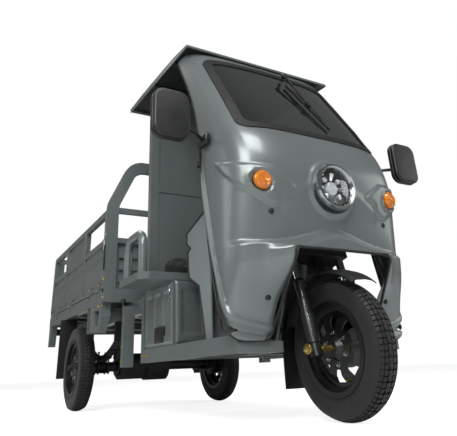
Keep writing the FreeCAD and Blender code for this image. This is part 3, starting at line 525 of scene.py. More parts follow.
# Height of each section, the front station on the centre line, the station of the door
# edge, and the half width there.
SHELL_SECTIONS = (
    (262, 86, 118, 436), (340, 58, 133, 440), (433, 24, 155, 443), (500, 5, 172, 444),
    (570, -10, 186, 445), (655, -28, 202, 445), (747, -44, 216, 445), (862, -62, 235, 445),
    (950, -64, 248, 445), (1030, -47, 259, 444), (1110, -12, 272, 443), (1290, 104, 310, 441),
    (1470, 221, 388, 439), (1652, 338, 491, 437), (1722, 384, 530, 436),
)
SHELL_SQUARENESS = 4.5
SHELL_WALL = 4
LAMP = (0, 867)
LAMP_HOLE = 93
SIGNAL = (333, 862)
PLUGS = ((293, 747), (296, 433))

# Fine steps, in degrees, along which the shell's own length is measured.
FINE_TURN = 0.25
FINE_STEPS = 720

# Rows of the shell's mesh: its foot, the windscreen's lower edge and its top, and the share of
# the rows that lies below the windscreen.
SHELL_FOOT, SHELL_SILL, SHELL_TOP = 262, 1100, 1722
ROWS_BELOW = 0.76

# The pod round each signal: how far it stands out and its bevel, then the collar and the well
# round the lamp on it, each with its radius and slope.
POD_RISE, POD_BEVEL = 11, 15
COLLAR_RISE, COLLAR_RADIUS, COLLAR_SLOPE = 15, 66, 20
WELL_DEPTH, WELL_RADIUS, WELL_SLOPE = 9, 47, 6

# The hood over the wheel: the height of its crease, which rises in the middle, the shelf under
# it, and the lip over the arch, which stands out most at its half width.
CREASE, CREASE_RISE, CREASE_SPREAD = 638, 62, 180
SHELF, LIP_MIDDLE, LIP_SIDE, LIP_HALF = 22, 34, 64, 234

# The bead and groove along the door edge and the foot, and the foot's line and round corner.
BEAD, GROOVE = 7, 3.5
FOOT_LINE, FOOT_CORNER = 286, 140


def section_at(height):
    """Front station, edge station and half width at a height, smooth between sections."""
    rows = SHELL_SECTIONS
    height = min(max(height, rows[0][0]), rows[-1][0])
    index = max(i for i in range(len(rows) - 1) if rows[i][0] <= height or i == 0)
    here, there = rows[index], rows[index + 1]
    before = rows[max(index - 1, 0)]
    after = rows[min(index + 2, len(rows) - 1)]
    run = there[0] - here[0]
    share = (height - here[0]) / run
    values = []
    for column in (1, 2, 3):
        slope_in = (there[column] - before[column]) / (there[0] - before[0]) * run
        slope_out = (after[column] - here[column]) / (after[0] - here[0]) * run
        ease = share * share * (3 - 2 * share)
        values.append(here[column] * (1 - ease) + there[column] * ease
                      + slope_in * share * (1 - share) ** 2 - slope_out * share ** 2 * (1 - share))
    return values


def shell_point(angle, height):
    """Across and station of the plain shell at an angle from straight ahead, -90 to 90."""
    front, edge, half = section_at(height)
    turn = math.radians(angle)
    across = abs(math.sin(turn)) / half
    along = abs(math.cos(turn)) / (edge - front)
    reach = (across ** SHELL_SQUARENESS + along ** SHELL_SQUARENESS) ** (-1 / SHELL_SQUARENESS)
    return reach * math.sin(turn), edge - reach * math.cos(turn)


def shell_angles(count):
    """Angles that step evenly along the shell's own surface at lamp height."""
    fine = [shell_point(-90 + step * FINE_TURN, SIGNAL[1]) for step in range(FINE_STEPS + 1)]
    runs = [0]
    for (x0, y0), (x1, y1) in zip(fine, fine[1:]):
        runs.append(runs[-1] + math.hypot(x1 - x0, y1 - y0))
    angles = []
    place = 0
    for step in range(count + 1):
        goal = runs[-1] * step / count
        while place < FINE_STEPS - 1 and runs[place + 1] < goal:
            place += 1
        share = (goal - runs[place]) / (runs[place + 1] - runs[place])
        angles.append(-90 + (place + share) * FINE_TURN)
    return angles, runs[-1]


def smooth(value):
    value = min(max(value, 0.0), 1.0)
    return value * value * (3 - 2 * value)


def inside_distance(point, corners):
    """Distance from a point to an outline, positive inside it."""
    best = 1e9
    inside = False
    u, v = point
    for (u0, v0), (u1, v1) in zip(corners, corners[1:] + corners[:1]):
        du, dv = u1 - u0, v1 - v0
        share = min(max(((u - u0) * du + (v - v0) * dv) / (du * du + dv * dv), 0), 1)
        best = min(best, math.hypot(u - u0 - share * du, v - v0 - share * dv))
        if (v0 > v) != (v1 > v) and u < u0 + (v - v0) / (v1 - v0) * du:
            inside = not inside
    return best if inside else -best


# Outline of the raised pod round each signal: along the surface from the centre line, height.
POD = [(560, 993), (397, 940), (266, 928), (190, 862), (184, 843), (232, 822), (258, 786),
       (282, 768), (305, 762), (332, 770), (428, 834), (490, 903)]


def pod_height(along, height):
    """The pod's plateau with its bevelled border, and the collar round the lamp on it."""
    rise = POD_RISE * smooth(inside_distance((along, height), POD) / POD_BEVEL)
    ring = math.hypot(along - SIGNAL[0] - 3, height - SIGNAL[1])
    collar = smooth((COLLAR_RADIUS - ring) / COLLAR_SLOPE)
    rise = rise * (1 - collar) + COLLAR_RISE * collar
    return rise - WELL_DEPTH * smooth((WELL_RADIUS - ring) / WELL_SLOPE)


def brow_line(across):
    """Height of the crease where the hood over the wheel begins."""
    return CREASE + CREASE_RISE * math.exp(-(across / CREASE_SPREAD) ** 2)


def brow_reach(across, height):
    """How far the hood stands forward: a shelf at the crease, then a lip over the arch."""
    below = brow_line(across) - height
    shelf = SHELF * smooth(below / 24)
    hood = LIP_MIDDLE + (LIP_SIDE - LIP_MIDDLE) * min(abs(across) / LIP_HALF, 1) ** 2
    if abs(across) > LIP_HALF:
        hood = LIP_SIDE * smooth(1 - (abs(across) - LIP_HALF) / 110)
    lip = hood * smooth((below - 10) / 40)
    fade = smooth((height - 400) / 170) if abs(across) > 200 else 1
    side = smooth((452 - abs(across)) / 40)
    return (shelf * side + lip) * fade


def band_height(from_edge, height):
    """The rolled bead that follows the door edge and the foot."""
    width = 45 + 28 * smooth((height - 520) / 500)
    across = from_edge / width
    if across > 1.15:
        return 0
    bead = BEAD * math.sin(math.pi * min(across / 0.72, 1))
    return bead - GROOVE * smooth(1 - abs(across - 0.84) / 0.2)


def foot_distance(along, height, edge_along):
    """Distance to the edge of the door side and of the foot, whose corner is round."""
    side = edge_along - along
    base = height - FOOT_LINE
    if side < FOOT_CORNER and base < FOOT_CORNER:
        return FOOT_CORNER - math.hypot(FOOT_CORNER - side, FOOT_CORNER - base)
    return min(side, base)


def arch_distance(across, height):
    """Distance out from the wheel arch's side."""
    if height > 600:
        return 1e3
    return abs(across) - (255 - 21 * (height - 330) / 242)


def lamp_collar(across, height):
    ring = math.hypot(across - LAMP[0], height - LAMP[1])
    return 9 * smooth((132 - ring) / 26)


def ridge(across, height):
    """The soft fold that runs from under each pod up to the lamp."""
    line = 776 + (249 - abs(across)) * 0.62
    reach = smooth((262 - abs(across)) / 30) * smooth((abs(across) - 70) / 60)
    return 5 * reach * smooth(1 - abs(height - line) / 46)


def shell_surface(angle, along, height):
    """A point of the finished outer surface, from its angle and its length along the shell."""
    x, y = shell_point(angle, height)
    x1, y1 = shell_point(min(angle + 0.5, 90), height)
    x0, y0 = shell_point(max(angle - 0.5, -90), height)
    run = math.hypot(x1 - x0, y1 - y0)
    normal = Vector(((y1 - y0) / run, -(x1 - x0) / run))
    off = pod_height(abs(along), height) + lamp_collar(x, height) + ridge(x, height)
    edge_along = 688 + 0.12 * (height - 862)
    off += band_height(foot_distance(abs(along), height, edge_along), height)
    off -= 7 * smooth(1 - arch_distance(x, height) / 16)
    return Vector((x + normal.x * off, y + normal.y * off - brow_reach(x, height), height))


def heights(count):
    """Rows of the shell, close together below the windscreen."""
    rows = []
    for step in range(count + 1):
        share = step / count
        if share <= ROWS_BELOW:
            rows.append(SHELL_FOOT + (SHELL_SILL - SHELL_FOOT) * share / ROWS_BELOW)
        else:
            above = (share - ROWS_BELOW) / (1 - ROWS_BELOW)
            rows.append(SHELL_SILL + (SHELL_TOP - SHELL_SILL) * above)
    return rows


def front_shell():
    """The painted front shell, cut for the windscreen, wheel arch and lamp."""
    columns, rows = 190, 180
    angles, total = shell_angles(columns)
    levels = heights(rows)
    shell = fresh(bpy.ops.mesh.primitive_grid_add, x_subdivisions=columns, y_subdivisions=rows,
                  size=2)
    for vertex in shell.data.vertices:
        column = round((vertex.co.x + 1) / 2 * columns)
        row = round((vertex.co.y + 1) / 2 * rows)
        along = total * (column / columns - 0.5)
        vertex.co = at(*shell_surface(angles[column], along, levels[row]))
    walled(shell, SHELL_WALL)
    for cutter in (pane_cutter(), arch_cutter(), foot_cutter(), lamp_cutter()):
        take = shell.modifiers.new("cut", "BOOLEAN")
        take.object = cutter
        take.operation = "DIFFERENCE"
        take.solver = "EXACT"
        settle(shell)
        bpy.data.objects.remove(cutter)
    return shown(shell, "front_shell", "paint", "chassis", 40, ["front_fairing"])


def arc_through(start, middle, end, steps=10):
    """Points along the arc through three points of a plane."""
    (ax, ay), (bx, by), (cx, cy) = start, middle, end
    d = 2 * (ax * (by - cy) + bx * (cy - ay) + cx * (ay - by))
    ux = ((ax * ax + ay * ay) * (by - cy) + (bx * bx + by * by) * (cy - ay)
          + (cx * cx + cy * cy) * (ay - by)) / d
    uy = ((ax * ax + ay * ay) * (cx - bx) + (bx * bx + by * by) * (ax - cx)
          + (cx * cx + cy * cy) * (bx - ax)) / d
    radius = math.hypot(ax - ux, ay - uy)
    a0 = math.atan2(ay - uy, ax - ux)
    a1 = math.atan2(by - uy, bx - ux)
    a2 = math.atan2(cy - uy, cx - ux)
    swing = (a2 - a0) % (2 * math.pi)
    if (a1 - a0) % (2 * math.pi) > swing:
        swing -= 2 * math.pi
    return [(ux + radius * math.cos(a0 + swing * step / steps),
             uy + radius * math.sin(a0 + swing * step / steps)) for step in range(steps + 1)]


def arch_half():
    """Right-hand half of the lower outline, from the outside in to the top of the arch."""
    points = [(480, 380), (450, 380)]
    points += arc_through((450, 380), (430, 312), (368, 286))[1:]
    points += arc_through((295, 286), (266, 298), (255, 330), 6)
    points += arc_through((234, 572), (228, 592), (206, 598), 5)
    points += [(120, 603.5), (0, 606)]
    return points


def arch_cutter():
    half = arch_half()
    corners = [(480, 230)] + half + [(-x, z) for x, z in reversed(half[:-1])] + [(-480, 230)]
    place = Matrix.Translation(at(0, 300, 0)) @ Matrix.Rotation(math.pi / 2, 4, "X")
    return outline_plate(corners, 700, place=place)


def foot_cutter():
    """Takes away what is behind the rounded lower corner of the door edge."""
    corners = arc_through((190, 545), (146, 415), (84, 325)) + [(84, 230), (280, 230), (280, 545)]
    return outline_plate(corners, 1200, place=side_plane(-0.6))


PANE_FOOT = at(0, -12, 1110)
PANE_RISE = Vector((0, 350, 542)).normalized()
PANE_OUT = Vector((0, -542, 350)).normalized()


def pane_outline(inset):
    """The windscreen opening in its own plane, drawn in from its edge by an inset."""
    half, low, high, crown = 384 - inset, 20 + inset, 657 - inset, 690 - inset
    round_by = 62 - 0.6 * inset
    points = []
    for sign, start in ((1, -90), (1, 0)):
        centre = (half - round_by, low + round_by if start < 0 else high - round_by)
        points += [(centre[0] + round_by * math.cos(math.radians(start + step * 15)),
                    centre[1] + round_by * math.sin(math.radians(start + step * 15)))
                   for step in range(7)]
    points += [(x, high + (crown - high) * (1 - (x / (half - round_by)) ** 2))
               for x in (240, 160, 80)]
    return points + [(0, crown)] + [(-x, up) for x, up in reversed(points)]


def pane_place(out):
    """The matrix of the windscreen's plane, stood off by a distance in millimetres."""
    turn = Matrix(((1, 0, 0), PANE_RISE, PANE_OUT)).transposed().to_4x4()
    return Matrix.Translation(PANE_FOOT + PANE_OUT * out * MM) @ turn


def pane_cutter():
    return outline_plate(pane_outline(0), 320, place=pane_place(-160))


def lamp_cutter():
    return settle(fresh(bpy.ops.mesh.primitive_cylinder_add, vertices=72, radius=LAMP_HOLE * MM,
                        depth=0.3, location=at(0, -100, LAMP[1]),
                        rotation=(math.pi / 2, 0, 0)))


def shell_angle(low, high, axis, goal, height):
    """The angle, between two others, at which the plain shell comes to a goal on one axis."""
    for _ in range(30):
        middle = (low + high) / 2
        if shell_point(middle, height)[axis] < goal:
            low = middle
        else:
            high = middle
    return low


def shell_spot(across, height):
    """The place on the shell seen from the front."""
    low, high = (0, 90) if across >= 0 else (-90, 0)
    x, y = shell_point(shell_angle(low, high, 0, across, height), height)
    return Vector((x, y - brow_reach(x, height), height))


def shell_spot_by_station(station, height):
    """The place on the plain shell's left side."""
    return Vector((*shell_point(shell_angle(20, 90, 1, station, height), height), height))


def lower_trim_route():
    """The route of the rubber edging: down the door edge, round the foot, over the arch."""
    side = []
    for height in range(1700, 440, -20):
        x, y = shell_point(90, height)
        side.append(Vector((x - 1, y - 1, height)))
    for station, height in arc_through((190, 545), (146, 415), (84, 325), 24):
        edge = section_at(height)[1]
        if height > 440 or station > edge:
            continue
        spot = shell_spot_by_station(station, height)
        if spot.z > arch_floor(spot.x):
            side.append(spot)
    for across, height in arch_half()[2:]:
        if across < side[-1].x or height > 330:
            side.append(shell_spot(across, height))
    return side


def arch_floor(across):
    """Height of the foot's lower edge at a distance from the centre."""
    points = arch_half()
    for (x0, z0), (x1, z1) in zip(points, points[1:]):
        if x1 <= across <= x0 and x0 != x1:
            return z0 + (z1 - z0) * (x0 - across) / (x0 - x1)
    return 0


def shell_trim():
    """Black rubber edging pushed over the shell's cut edge."""
    left = lower_trim_route()
    right = [Vector((-spot.x, spot.y, spot.z)) for spot in reversed(left[:-1])]
    route = [at(*spot) for spot in left + right]
    shown(tube(route, 5.5, sides=12), "shell_edging", "rubber", "chassis", 60)


def shell_plugs():
    """Round rubber plugs that close the shell's fixing holes."""
    plug = turned([(0, 5), (7, 4.6), (10.5, 2.5), (12, 0), (12, -4), (0, -4)], steps=32)
    places = []
    for across, height in PLUGS:
        for side in (1, -1):
            places.append(aimed(at(*shell_spot(across * side, height)), (0.12 * side, -1, 0.05)))
    shown(copied(plug, places), "shell_plugs", "rubber", "chassis")


# ---------------------------------------------------------------- lamps


LAMP_STATION = -62
SIGNAL_STATION = -43


def headlamp():
    """Bezel, black bowl with four small reflectors and a plain cap, behind a clear dome."""
    seat = aimed(at(0, LAMP_STATION, LAMP[1]), (0, -1, 0))
    gasket = turned([(92, -6), (106, -4), (108, 2), (104, 8), (94, 10), (90, 4)], seat, 80)
    shown(gasket, "headlamp_gasket", "rubber", "chassis")
    ring = turned([(78, 24), (82, 34), (88, 39), (95, 37), (100, 28), (101, 16), (99, 6), (90, 4),
                   (86, 12), (80, 18), (78, 24)], seat, 96)
    shown(ring, "headlamp_bezel", "bezel", "chassis", 40, ["headlamp"])
    bowl = turned([(79, 24), (74, 8), (66, -8), (52, -22), (30, -32), (0, -36), (0, -40), (34, -36),
                   (58, -26), (72, -10), (82, 8), (82, 24)], seat, 72)
    shown(bowl, "headlamp_bowl", "abs", "chassis", 40)
    facet = outline_plate([(38, -6), (70, -11), (72, 0), (70, 11), (38, 6)], 2, 0.6)
    lean = Matrix.Translation((0, 0, -0.018)) @ Matrix.Rotation(-0.42, 4, "Y")
    spokes = [seat @ Matrix.Rotation(math.radians(turn), 4, "Z") @ lean
              for turn in range(0, 360, 90)]
    shown(copied(facet, spokes), "headlamp_reflector", "chrome", "chassis")
    cup = turned([(0, -8), (5, -7), (9, 0), (10, 4), (11, 4), (11, -8), (0, -12)], steps=28)
    places = [seat @ Matrix.Translation((48 * MM * math.cos(turn), 48 * MM * math.sin(turn), 0))
              for turn in [math.radians(45 + 90 * step) for step in range(4)]]
    shown(copied(cup, places), "headlamp_spots", "glow", "chassis")
    cap = turned([(0, 12), (14, 11), (24, 8), (29, 3), (31, -4), (28, -20), (0, -22)], seat, 48)
    shown(cap, "headlamp_cap", "pearl", "chassis")
    dome = turned([(0, 45), (30, 42), (56, 36), (76, 28), (79, 26), (79, 23.5), (74, 25), (55, 33.5),
                   (29, 39.5), (0, 42.5)], seat, 72)
    shown(dome, "headlamp_lens", "clear", "chassis")


def signal_lamps():
    """Round amber lenses with moulded rings, each held by two small screws."""
    rings = [(0, 27)]
    for radius in (6, 12, 18, 24):
        rings += [(radius - 2.5, 27), (radius, 24.4)]
    rings += [(27, 25.5), (30, 22), (36, 17), (37.5, 12), (38, 3), (0, 3)]
    glass = turned(rings, steps=64)
    base = turned([(0, 3), (40, 3), (41, 0), (41, -6), (0, -6)], steps=64)
    screw = turned([(0, 3), (2.4, 2.6), (3.4, 1.2), (3.6, 0), (0, 0)], steps=16)
    seats = [aimed(at(SIGNAL[0] * side, SIGNAL_STATION, SIGNAL[1]), (0.1 * side, -1, 0))
             for side in (1, -1)]
    screws = [seat @ Matrix.Translation((x * MM, y * MM, 19 * MM)) for seat in seats
              for x, y in ((23, -22), (-23, 22))]
    shown(copied(glass, seats), "signal_lenses", "amber", "chassis", 30, ["turn_signals"])
    shown(copied(base, seats), "signal_bases", "abs", "chassis")
    shown(copied(screw, screws), "signal_screws", "zinc", "chassis")


# ---------------------------------------------------------------- tyres


def crown(across):
    """Radius of the tread's surface at a distance from its middle, in millimetres."""
    half = 38.5
    drop = 11
    arc = (half * half + drop * drop) / (2 * drop)
    return TYRE_RADIUS / MM - 0.4 - (arc - math.sqrt(arc * arc - across * across))


# Blocks of one pitch of tread, their corners as (across, share of the pitch): the middle one,
# and those of the left half, which the right half repeats a little later in the pitch.
MIDDLE_BLOCK = ((-3, 0.04), (4, 0.00), (9, 0.22), (6, 0.50), (10, 0.78), (4, 0.94), (-4, 0.90),
                (-9, 0.66), (-6, 0.40), (-10, 0.14))
HALF_BLOCKS = (
    ((13, 0.08), (23, 0.00), (25, 0.30), (22, 0.46), (11, 0.40)),
    ((12, 0.52), (22, 0.58), (25, 0.82), (21, 0.94), (14, 0.90)),
    ((28, 0.06), (40, 0.02), (41.5, 0.36), (40, 0.44), (27, 0.44)),
    ((27, 0.54), (40, 0.54), (41.5, 0.86), (40, 0.94), (29, 0.92)),
)
TREAD_LAG = 0.04
TREAD_BLOCKS = (MIDDLE_BLOCK, *HALF_BLOCKS,
                *(tuple((-x, t + TREAD_LAG) for x, t in block) for block in HALF_BLOCKS))
TREAD_SHOULDER = 38.4
TREAD_PITCHES = 38
TREAD_DEPTH = 7


def tread(name, hub, body, node):
    """A tyre's carcass with moulded sidewall rings, and the blocks of its tread."""
    groove = [(crown(x) - TREAD_DEPTH, x) for x in (-38, -28, -14, 0, 14, 28, 38)]
    side = [(crown(38) - 1, 40.5), (228, 44.5), (216, 46.6), (213, 47.3), (210, 46.9), (200, 47.4),
            (188, 46.8), (184, 47.3), (180, 45.8), (168, 43), (158, 41.5), (153.6, 40.5),
            (153.6, 30)]
    outline = groove + side
    mirror = [(radius, -across) for radius, across in reversed(side)]
    carcass = turned(mirror + outline, steps=120)
    points, faces = [], []
    for pitch in range(TREAD_PITCHES):
        for corners in TREAD_BLOCKS:
            first = len(points)
            count = len(corners)
            for depth, draw in ((TREAD_DEPTH + 1, 1.0), (0.9, 1.0), (0, 0.93)):
                middle_x = sum(x for x, _ in corners) / count
                middle_t = sum(t for _, t in corners) / count
                for x, t in corners:
                    across = middle_x + (x - middle_x) * draw
                    turn = (pitch + middle_t + (t - middle_t) * draw) * 2 * math.pi / TREAD_PITCHES
                    radius = crown(min(abs(across), TREAD_SHOULDER)) - depth
                    radius -= 2.5 * max(0, abs(across) - TREAD_SHOULDER)
                    points.append((radius * MM * math.cos(turn), radius * MM * math.sin(turn),
                                   across * MM))
            for ring in (0, count):
                for index in range(count):
                    ahead = (index + 1) % count
                    faces.append((first + ring + index, first + ring + ahead,
                                  first + ring + count + ahead, first + ring + count + index))
            faces.append([first + 2 * count + index for index in range(count)])
    rubber = mesh_piece("tread", points, [], faces)
    edited()
    whole = joined([carcass, rubber])
    whole.matrix_world = aimed(hub, (1, 0, 0))
    return shown(whole, name, "tyre", body, 30, [node])


def tyres():
    for wheel in ("front_wheel", "rear_wheel_left", "rear_wheel_right"):
        tread(f"{wheel}_tread", middle_of(f"{wheel}_rim"), wheel, f"{wheel}_tyre")


# ---------------------------------------------------------------- seat


# The cushion's side outline: station and height, from the front foot over the top to the back.
CUSHION_SIDE = ((660, 640), (656, 690), (664, 712), (700, 722), (745, 710), (800, 716), (870, 738),
                (930, 748), (972, 740), (980, 700), (980, 640))
CUSHION_SEAMS = (752, 862)
CUSHION_SWELL = 12
CUSHION_FOOT = 637
CHANNEL_DEPTH, CHANNEL_HALF, CHANNEL_FOOT = 9, 6, 690
PIPING_HEIGHT = 664


def puffed(piece):
    """Fills a cover: an even mesh, blown up by air pressure, then kept within a swell."""
    even = piece.modifiers.new("even", "REMESH")
    even.mode = "VOXEL"
    even.voxel_size = 7 * MM
    settle(piece)
    before = [vertex.co.copy() for vertex in piece.data.vertices]
    cloth = piece.modifiers.new("cloth", "CLOTH")
    cloth.settings.use_pressure = True
    cloth.settings.uniform_pressure_force = 4
    cloth.settings.effector_weights.gravity = 0
    for step in range(1, 21):
        bpy.context.scene.frame_set(step)
    settle(piece)
    bpy.context.scene.frame_set(1)
    for vertex, start in zip(piece.data.vertices, before):
        move = vertex.co - start
        if move.length > CUSHION_SWELL * MM:
            vertex.co = start + move.normalized() * CUSHION_SWELL * MM
    return piece


def seat_cushion():
    """Stuffed bench cushion with two sewn channels across it and piping round its top."""
    cover = puffed(outline_plate(CUSHION_SIDE, 668, 20, side_plane(-0.334)))
    for vertex in cover.data.vertices:
        station = (vertex.co.y - FRONT_HUB.y) / MM
        if vertex.co.z > CHANNEL_FOOT * MM:
            vertex.co.z -= MM * sum(
                CHANNEL_DEPTH * math.exp(-((station - seam) / CHANNEL_HALF) ** 2)
                for seam in CUSHION_SEAMS)
        vertex.co.z = max(vertex.co.z, CUSHION_FOOT * MM)
    finer = cover.modifiers.new("finer", "SUBSURF")
    finer.levels = finer.render_levels = 1
    pad = shown(cover, "seat_cushion_cover", "vinyl", "chassis", 60, ["seat_cushion"])
    corners = ((0, 656), (345, 656), (345, 985), (-345, 985), (-345, 656), (-1, 656))
    route = rounded_route([at(x, station, PIPING_HEIGHT) for x, station in corners], 30)
    shown(tube(route, 3.2, sides=12), "seat_piping", "vinyl", "chassis", 60)


def box_pressing(half, tall, middles, reach):
    """The height of a box panel: a raised face with bevelled edges and tall recesses."""
    def height_at(u, v):
        border = smooth(min(half - abs(u), tall - abs(v)) / 9)
        sunk = max(smooth(min(reach - abs(u - middle), tall - 34 - abs(v)) / 14)
                   for middle in middles)
        return 0.5 + 7 * border * (1 - sunk)
    return height_at


def seat_box_panels():
    """Pressed panels on the seat box, its charging port and its latch."""
    for side, tag in SIDES:
        panel = pressing(362, 280, box_pressing(181, 140, (-112, 0, 112), 46),
                         flank(side, 396.5, 858, 455))
        shown(panel, f"seat_box_{tag}_panel", "paint", "chassis", 50)
    front = pressing(772, 280, box_pressing(386, 140, (-300, -150, 0, 150, 300), 60),
                     facing(at(0, 671.5, 455), (0, -1, 0)))
    shown(front, "seat_box_front_panel", "paint", "chassis", 50)
    port = outline_plate(rounded(112, 74, 9), 12, 2, flank(-1, 397, 825, 362))
    lid = outline_plate(rounded(92, 54, 7), 3, 1, flank(-1, 409, 825, 362))
    shown(joined([port, lid]), "charging_port", "abs", "chassis", 40)
    latch = joined([bar(at(-407, 690, 520), at(-397, 716, 580)),
                    bar(at(-412, 696, 500), at(-406, 710, 560))])
    shown(latch, "seat_box_latch", "chrome", "chassis")


# ---------------------------------------------------------------- cab fittings


def mirror_pair():
    """Mirrors: a rounded housing, its glass to the rear, an arm with a ball end and a foot."""
    shells, glasses, arms = [], [], []
    for side in (1, -1):
        back = facing(at(655 * side, 78, 1147), (0, -1, 0))
        shell = outline_plate(rounded(158, 213, 46, 8), 22, 0,
                              back @ Matrix.Translation((0, 0, -0.018)))
        shells.append(eased(shell, 15, 6, 50))
        rear = facing(at(655 * side, 96, 1147), (0, 1, 0))
        shells.append(eased(outline_plate(rounded(160, 215, 46, 8), 20, 0, rear), 4, 3, 50))
        glasses.append(outline_plate(rounded(146, 200, 40, 8), 1.2, 0,
                                     rear @ Matrix.Translation((0, 0, 0.0195))))
        route = rounded_route([at(600 * side, 96, 1110), at(540 * side, 120, 1104),
                               at(474 * side, 186, 1110)], 60)
        arms += [tube(route, 8), bar(at(min(447 * side, 472 * side), 152, 1086),
                                     at(max(447 * side, 472 * side), 240, 1134), 6)]
        arms.append(turned([(0, 16), (9, 13), (15, 5), (16, 0), (15, -5), (9, -13), (0, -16)],
                           aimed(at(596 * side, 97, 1110), (0, 0, 1)), 24))
    shown(joined(shells), "mirror_housings", "abs", "chassis", 50, ["mirrors"])
    shown(joined(glasses), "mirror_glasses", "chrome", "chassis")
    shown(joined(arms), "mirror_arms", "powder", "chassis", 50)


def wiper():
    """Wiper: pivot with a cap, a two-part arm, and a blade in claws."""
    def spot(x, up, out):
        return PANE_FOOT + Vector((x * MM, 0, 0)) + PANE_RISE * up * MM + PANE_OUT * out * MM
    pivot, elbow = spot(75, 600, 44), spot(105, 330, 26)
    foot, head = spot(130, 120, 15), spot(75, 540, 15)
    cap = turned([(0, 12), (9, 11), (13, 6), (14, 0), (14, -8), (9, -14), (9, -36), (0, -36)],
                 aimed(pivot, PANE_OUT), 32)
    arm = [tube([pivot, spot(88, 500, 36)], 6.5), tube([spot(88, 500, 36), elbow], 4.2)]
    knuckle = bar((-0.009, -0.022, -0.008), (0.009, 0.022, 0.008), 3)
    knuckle.matrix_world = aimed(elbow, PANE_OUT)
    spine = [tube([foot, head], 4), tube([spot(122, 190, 22), elbow, spot(88, 470, 22)], 3.2)]
    rubber = tube([foot - PANE_OUT * 0.007, head - PANE_OUT * 0.007], 2.6)
    shown(joined([cap, knuckle] + arm + spine), "wiper_arm_and_blade", "powder", "chassis", 50,
          ["wiper"])
    shown(rubber, "wiper_rubber", "rubber", "chassis", 50)


def roof_details():
    """The rolled lip round the roof, and under it a black lining with two black ribs: painted shade
    for the shadow on the roof's underside.
    """
    spine = [(377, 1732), (470, 1747), (560, 1760), (730, 1773), (900, 1785), (1080, 1795),
             (1254, 1800)]
    lips = [tube([at(451 * side, station, height) for station, height in spine], 6)
            for side in (1, -1)]
    lips.append(tube([at(-451, 378, 1732), at(451, 378, 1732)], 7))
    shown(joined(lips), "roof_rolled_edge", "paint", "chassis", 50)
    # The ribs are black rather than roof paint: painted shade under the roof.
    black_ribs_for_shade = [bar(at(-445, station, low), at(445, station + 46, low + 12), 4)
            for station, low in ((560, 1741), (860, 1765))]
    shown(joined(black_ribs_for_shade), "roof_cross_bars_painted_shade", "abs", "chassis", 50)
    # A thin black sheet under the roof where there is only shadow: painted shade, not a real
    # headliner.
    above = [(378, 1725), (560, 1756), (900, 1781), (1256, 1799)]
    below = [(station, height - 3) for station, height in reversed(above)]
    painted_shade_sheet = outline_plate(above + below, 894, place=side_plane(-0.447))
    shown(painted_shade_sheet, "roof_underside_painted_shade", "abs", "chassis", 50)


def instrument_and_levers():
    """Instrument pod on the bar clamp, switch boxes and brake levers beside the grips."""
    lean = aimed(at(0, 246, 1034), (0, 0.55, 0.83))
    pod = turned([(0, 10), (60, 10), (68, 4), (66, -14), (46, -26), (0, -30)], lean, 48)
    shown(pod, "instrument_pod", "abs", "steering", 50)
    shown(turned([(0, 12.5), (54, 12), (58, 10), (0, 10)], lean, 48), "instrument_glass", "clear",
          "steering")
    levers, boxes = [], []
    for side in (1, -1):
        route = rounded_route([at(212 * side, 408, 1118), at(236 * side, 382, 1112),
                               at(300 * side, 404, 1108), at(352 * side, 436, 1110)], 22)
        levers.append(tube(route, 4.6))
        box = bar((-0.017, -0.017, -0.024), (0.017, 0.017, 0.024), 4)
        boxes.append(set_down(box, aimed(at(214 * side, 424.5, 1125), (140 * side, 70, 5))))
    shown(joined(levers), "brake_levers", "bezel", "steering", 50)
    shown(joined(boxes), "switch_boxes", "abs", "steering")


def panel_edging():
    """Rubber edging on both cheeks of the leg shield, and a knee pad on each side."""
    outline = [(440, 312), (470, 437), (496, 543), (600, 597), (612, 717), (580, 735), (620, 760),
               (620, 813), (440, 868), (300, 903)]
    edges = [tube([at(347 * side, *spot) for spot in outline], 6, sides=8) for side in (1, -1)]
    shown(joined(edges), "leg_shield_edging", "rubber", "chassis", 60)
    pads = [pressing(250, 100, lambda u, v: 6 * smooth(min(125 - abs(u), 50 - abs(v)) / 12),
                     facing(at(x, 607.5, 657), (0, 1, 0))) for x in (-150, 150)]
    shown(joined(pads), "knee_pads", "abs", "chassis", 50)


# ---------------------------------------------------------------- load bed

# Stations of the boards' bays, posts and hinges, and of the tailgate's hinges across.
BAYS = ((1369, 1817), (1853, 2360), (2396, 2825))
SIDE_HINGES = (1425, 1630, 2140, 2580)
TAIL_HINGES = (-380, 0, 380)
END_POSTS, MIDDLE_POSTS = (1353, 2841), (1835, 2378)
BAY_MIDDLE, POST_MIDDLE = 795.5, 892


def bay_pressing(half):
    """The height of a board's bay: a rounded rib above, a scoop that rises from the foot below."""
    def height_at(u, v):
        side = smooth((half - 26 - abs(u)) / 18)
        rib = 8 * smooth(1 - abs(v - 62) / 26) * smooth((half - 34 - abs(u)) / 22)
        scoop = 8 * smooth((v + 98) / 16) * smooth((22 - v) / 90) * side
        return max(rib, scoop)
    return height_at


def bay_skins(bays, place_of):
    return [pressing(high - low - 2, 234, bay_pressing((high - low) / 2),
                     place_of((low + high) / 2)) for low, high in bays]


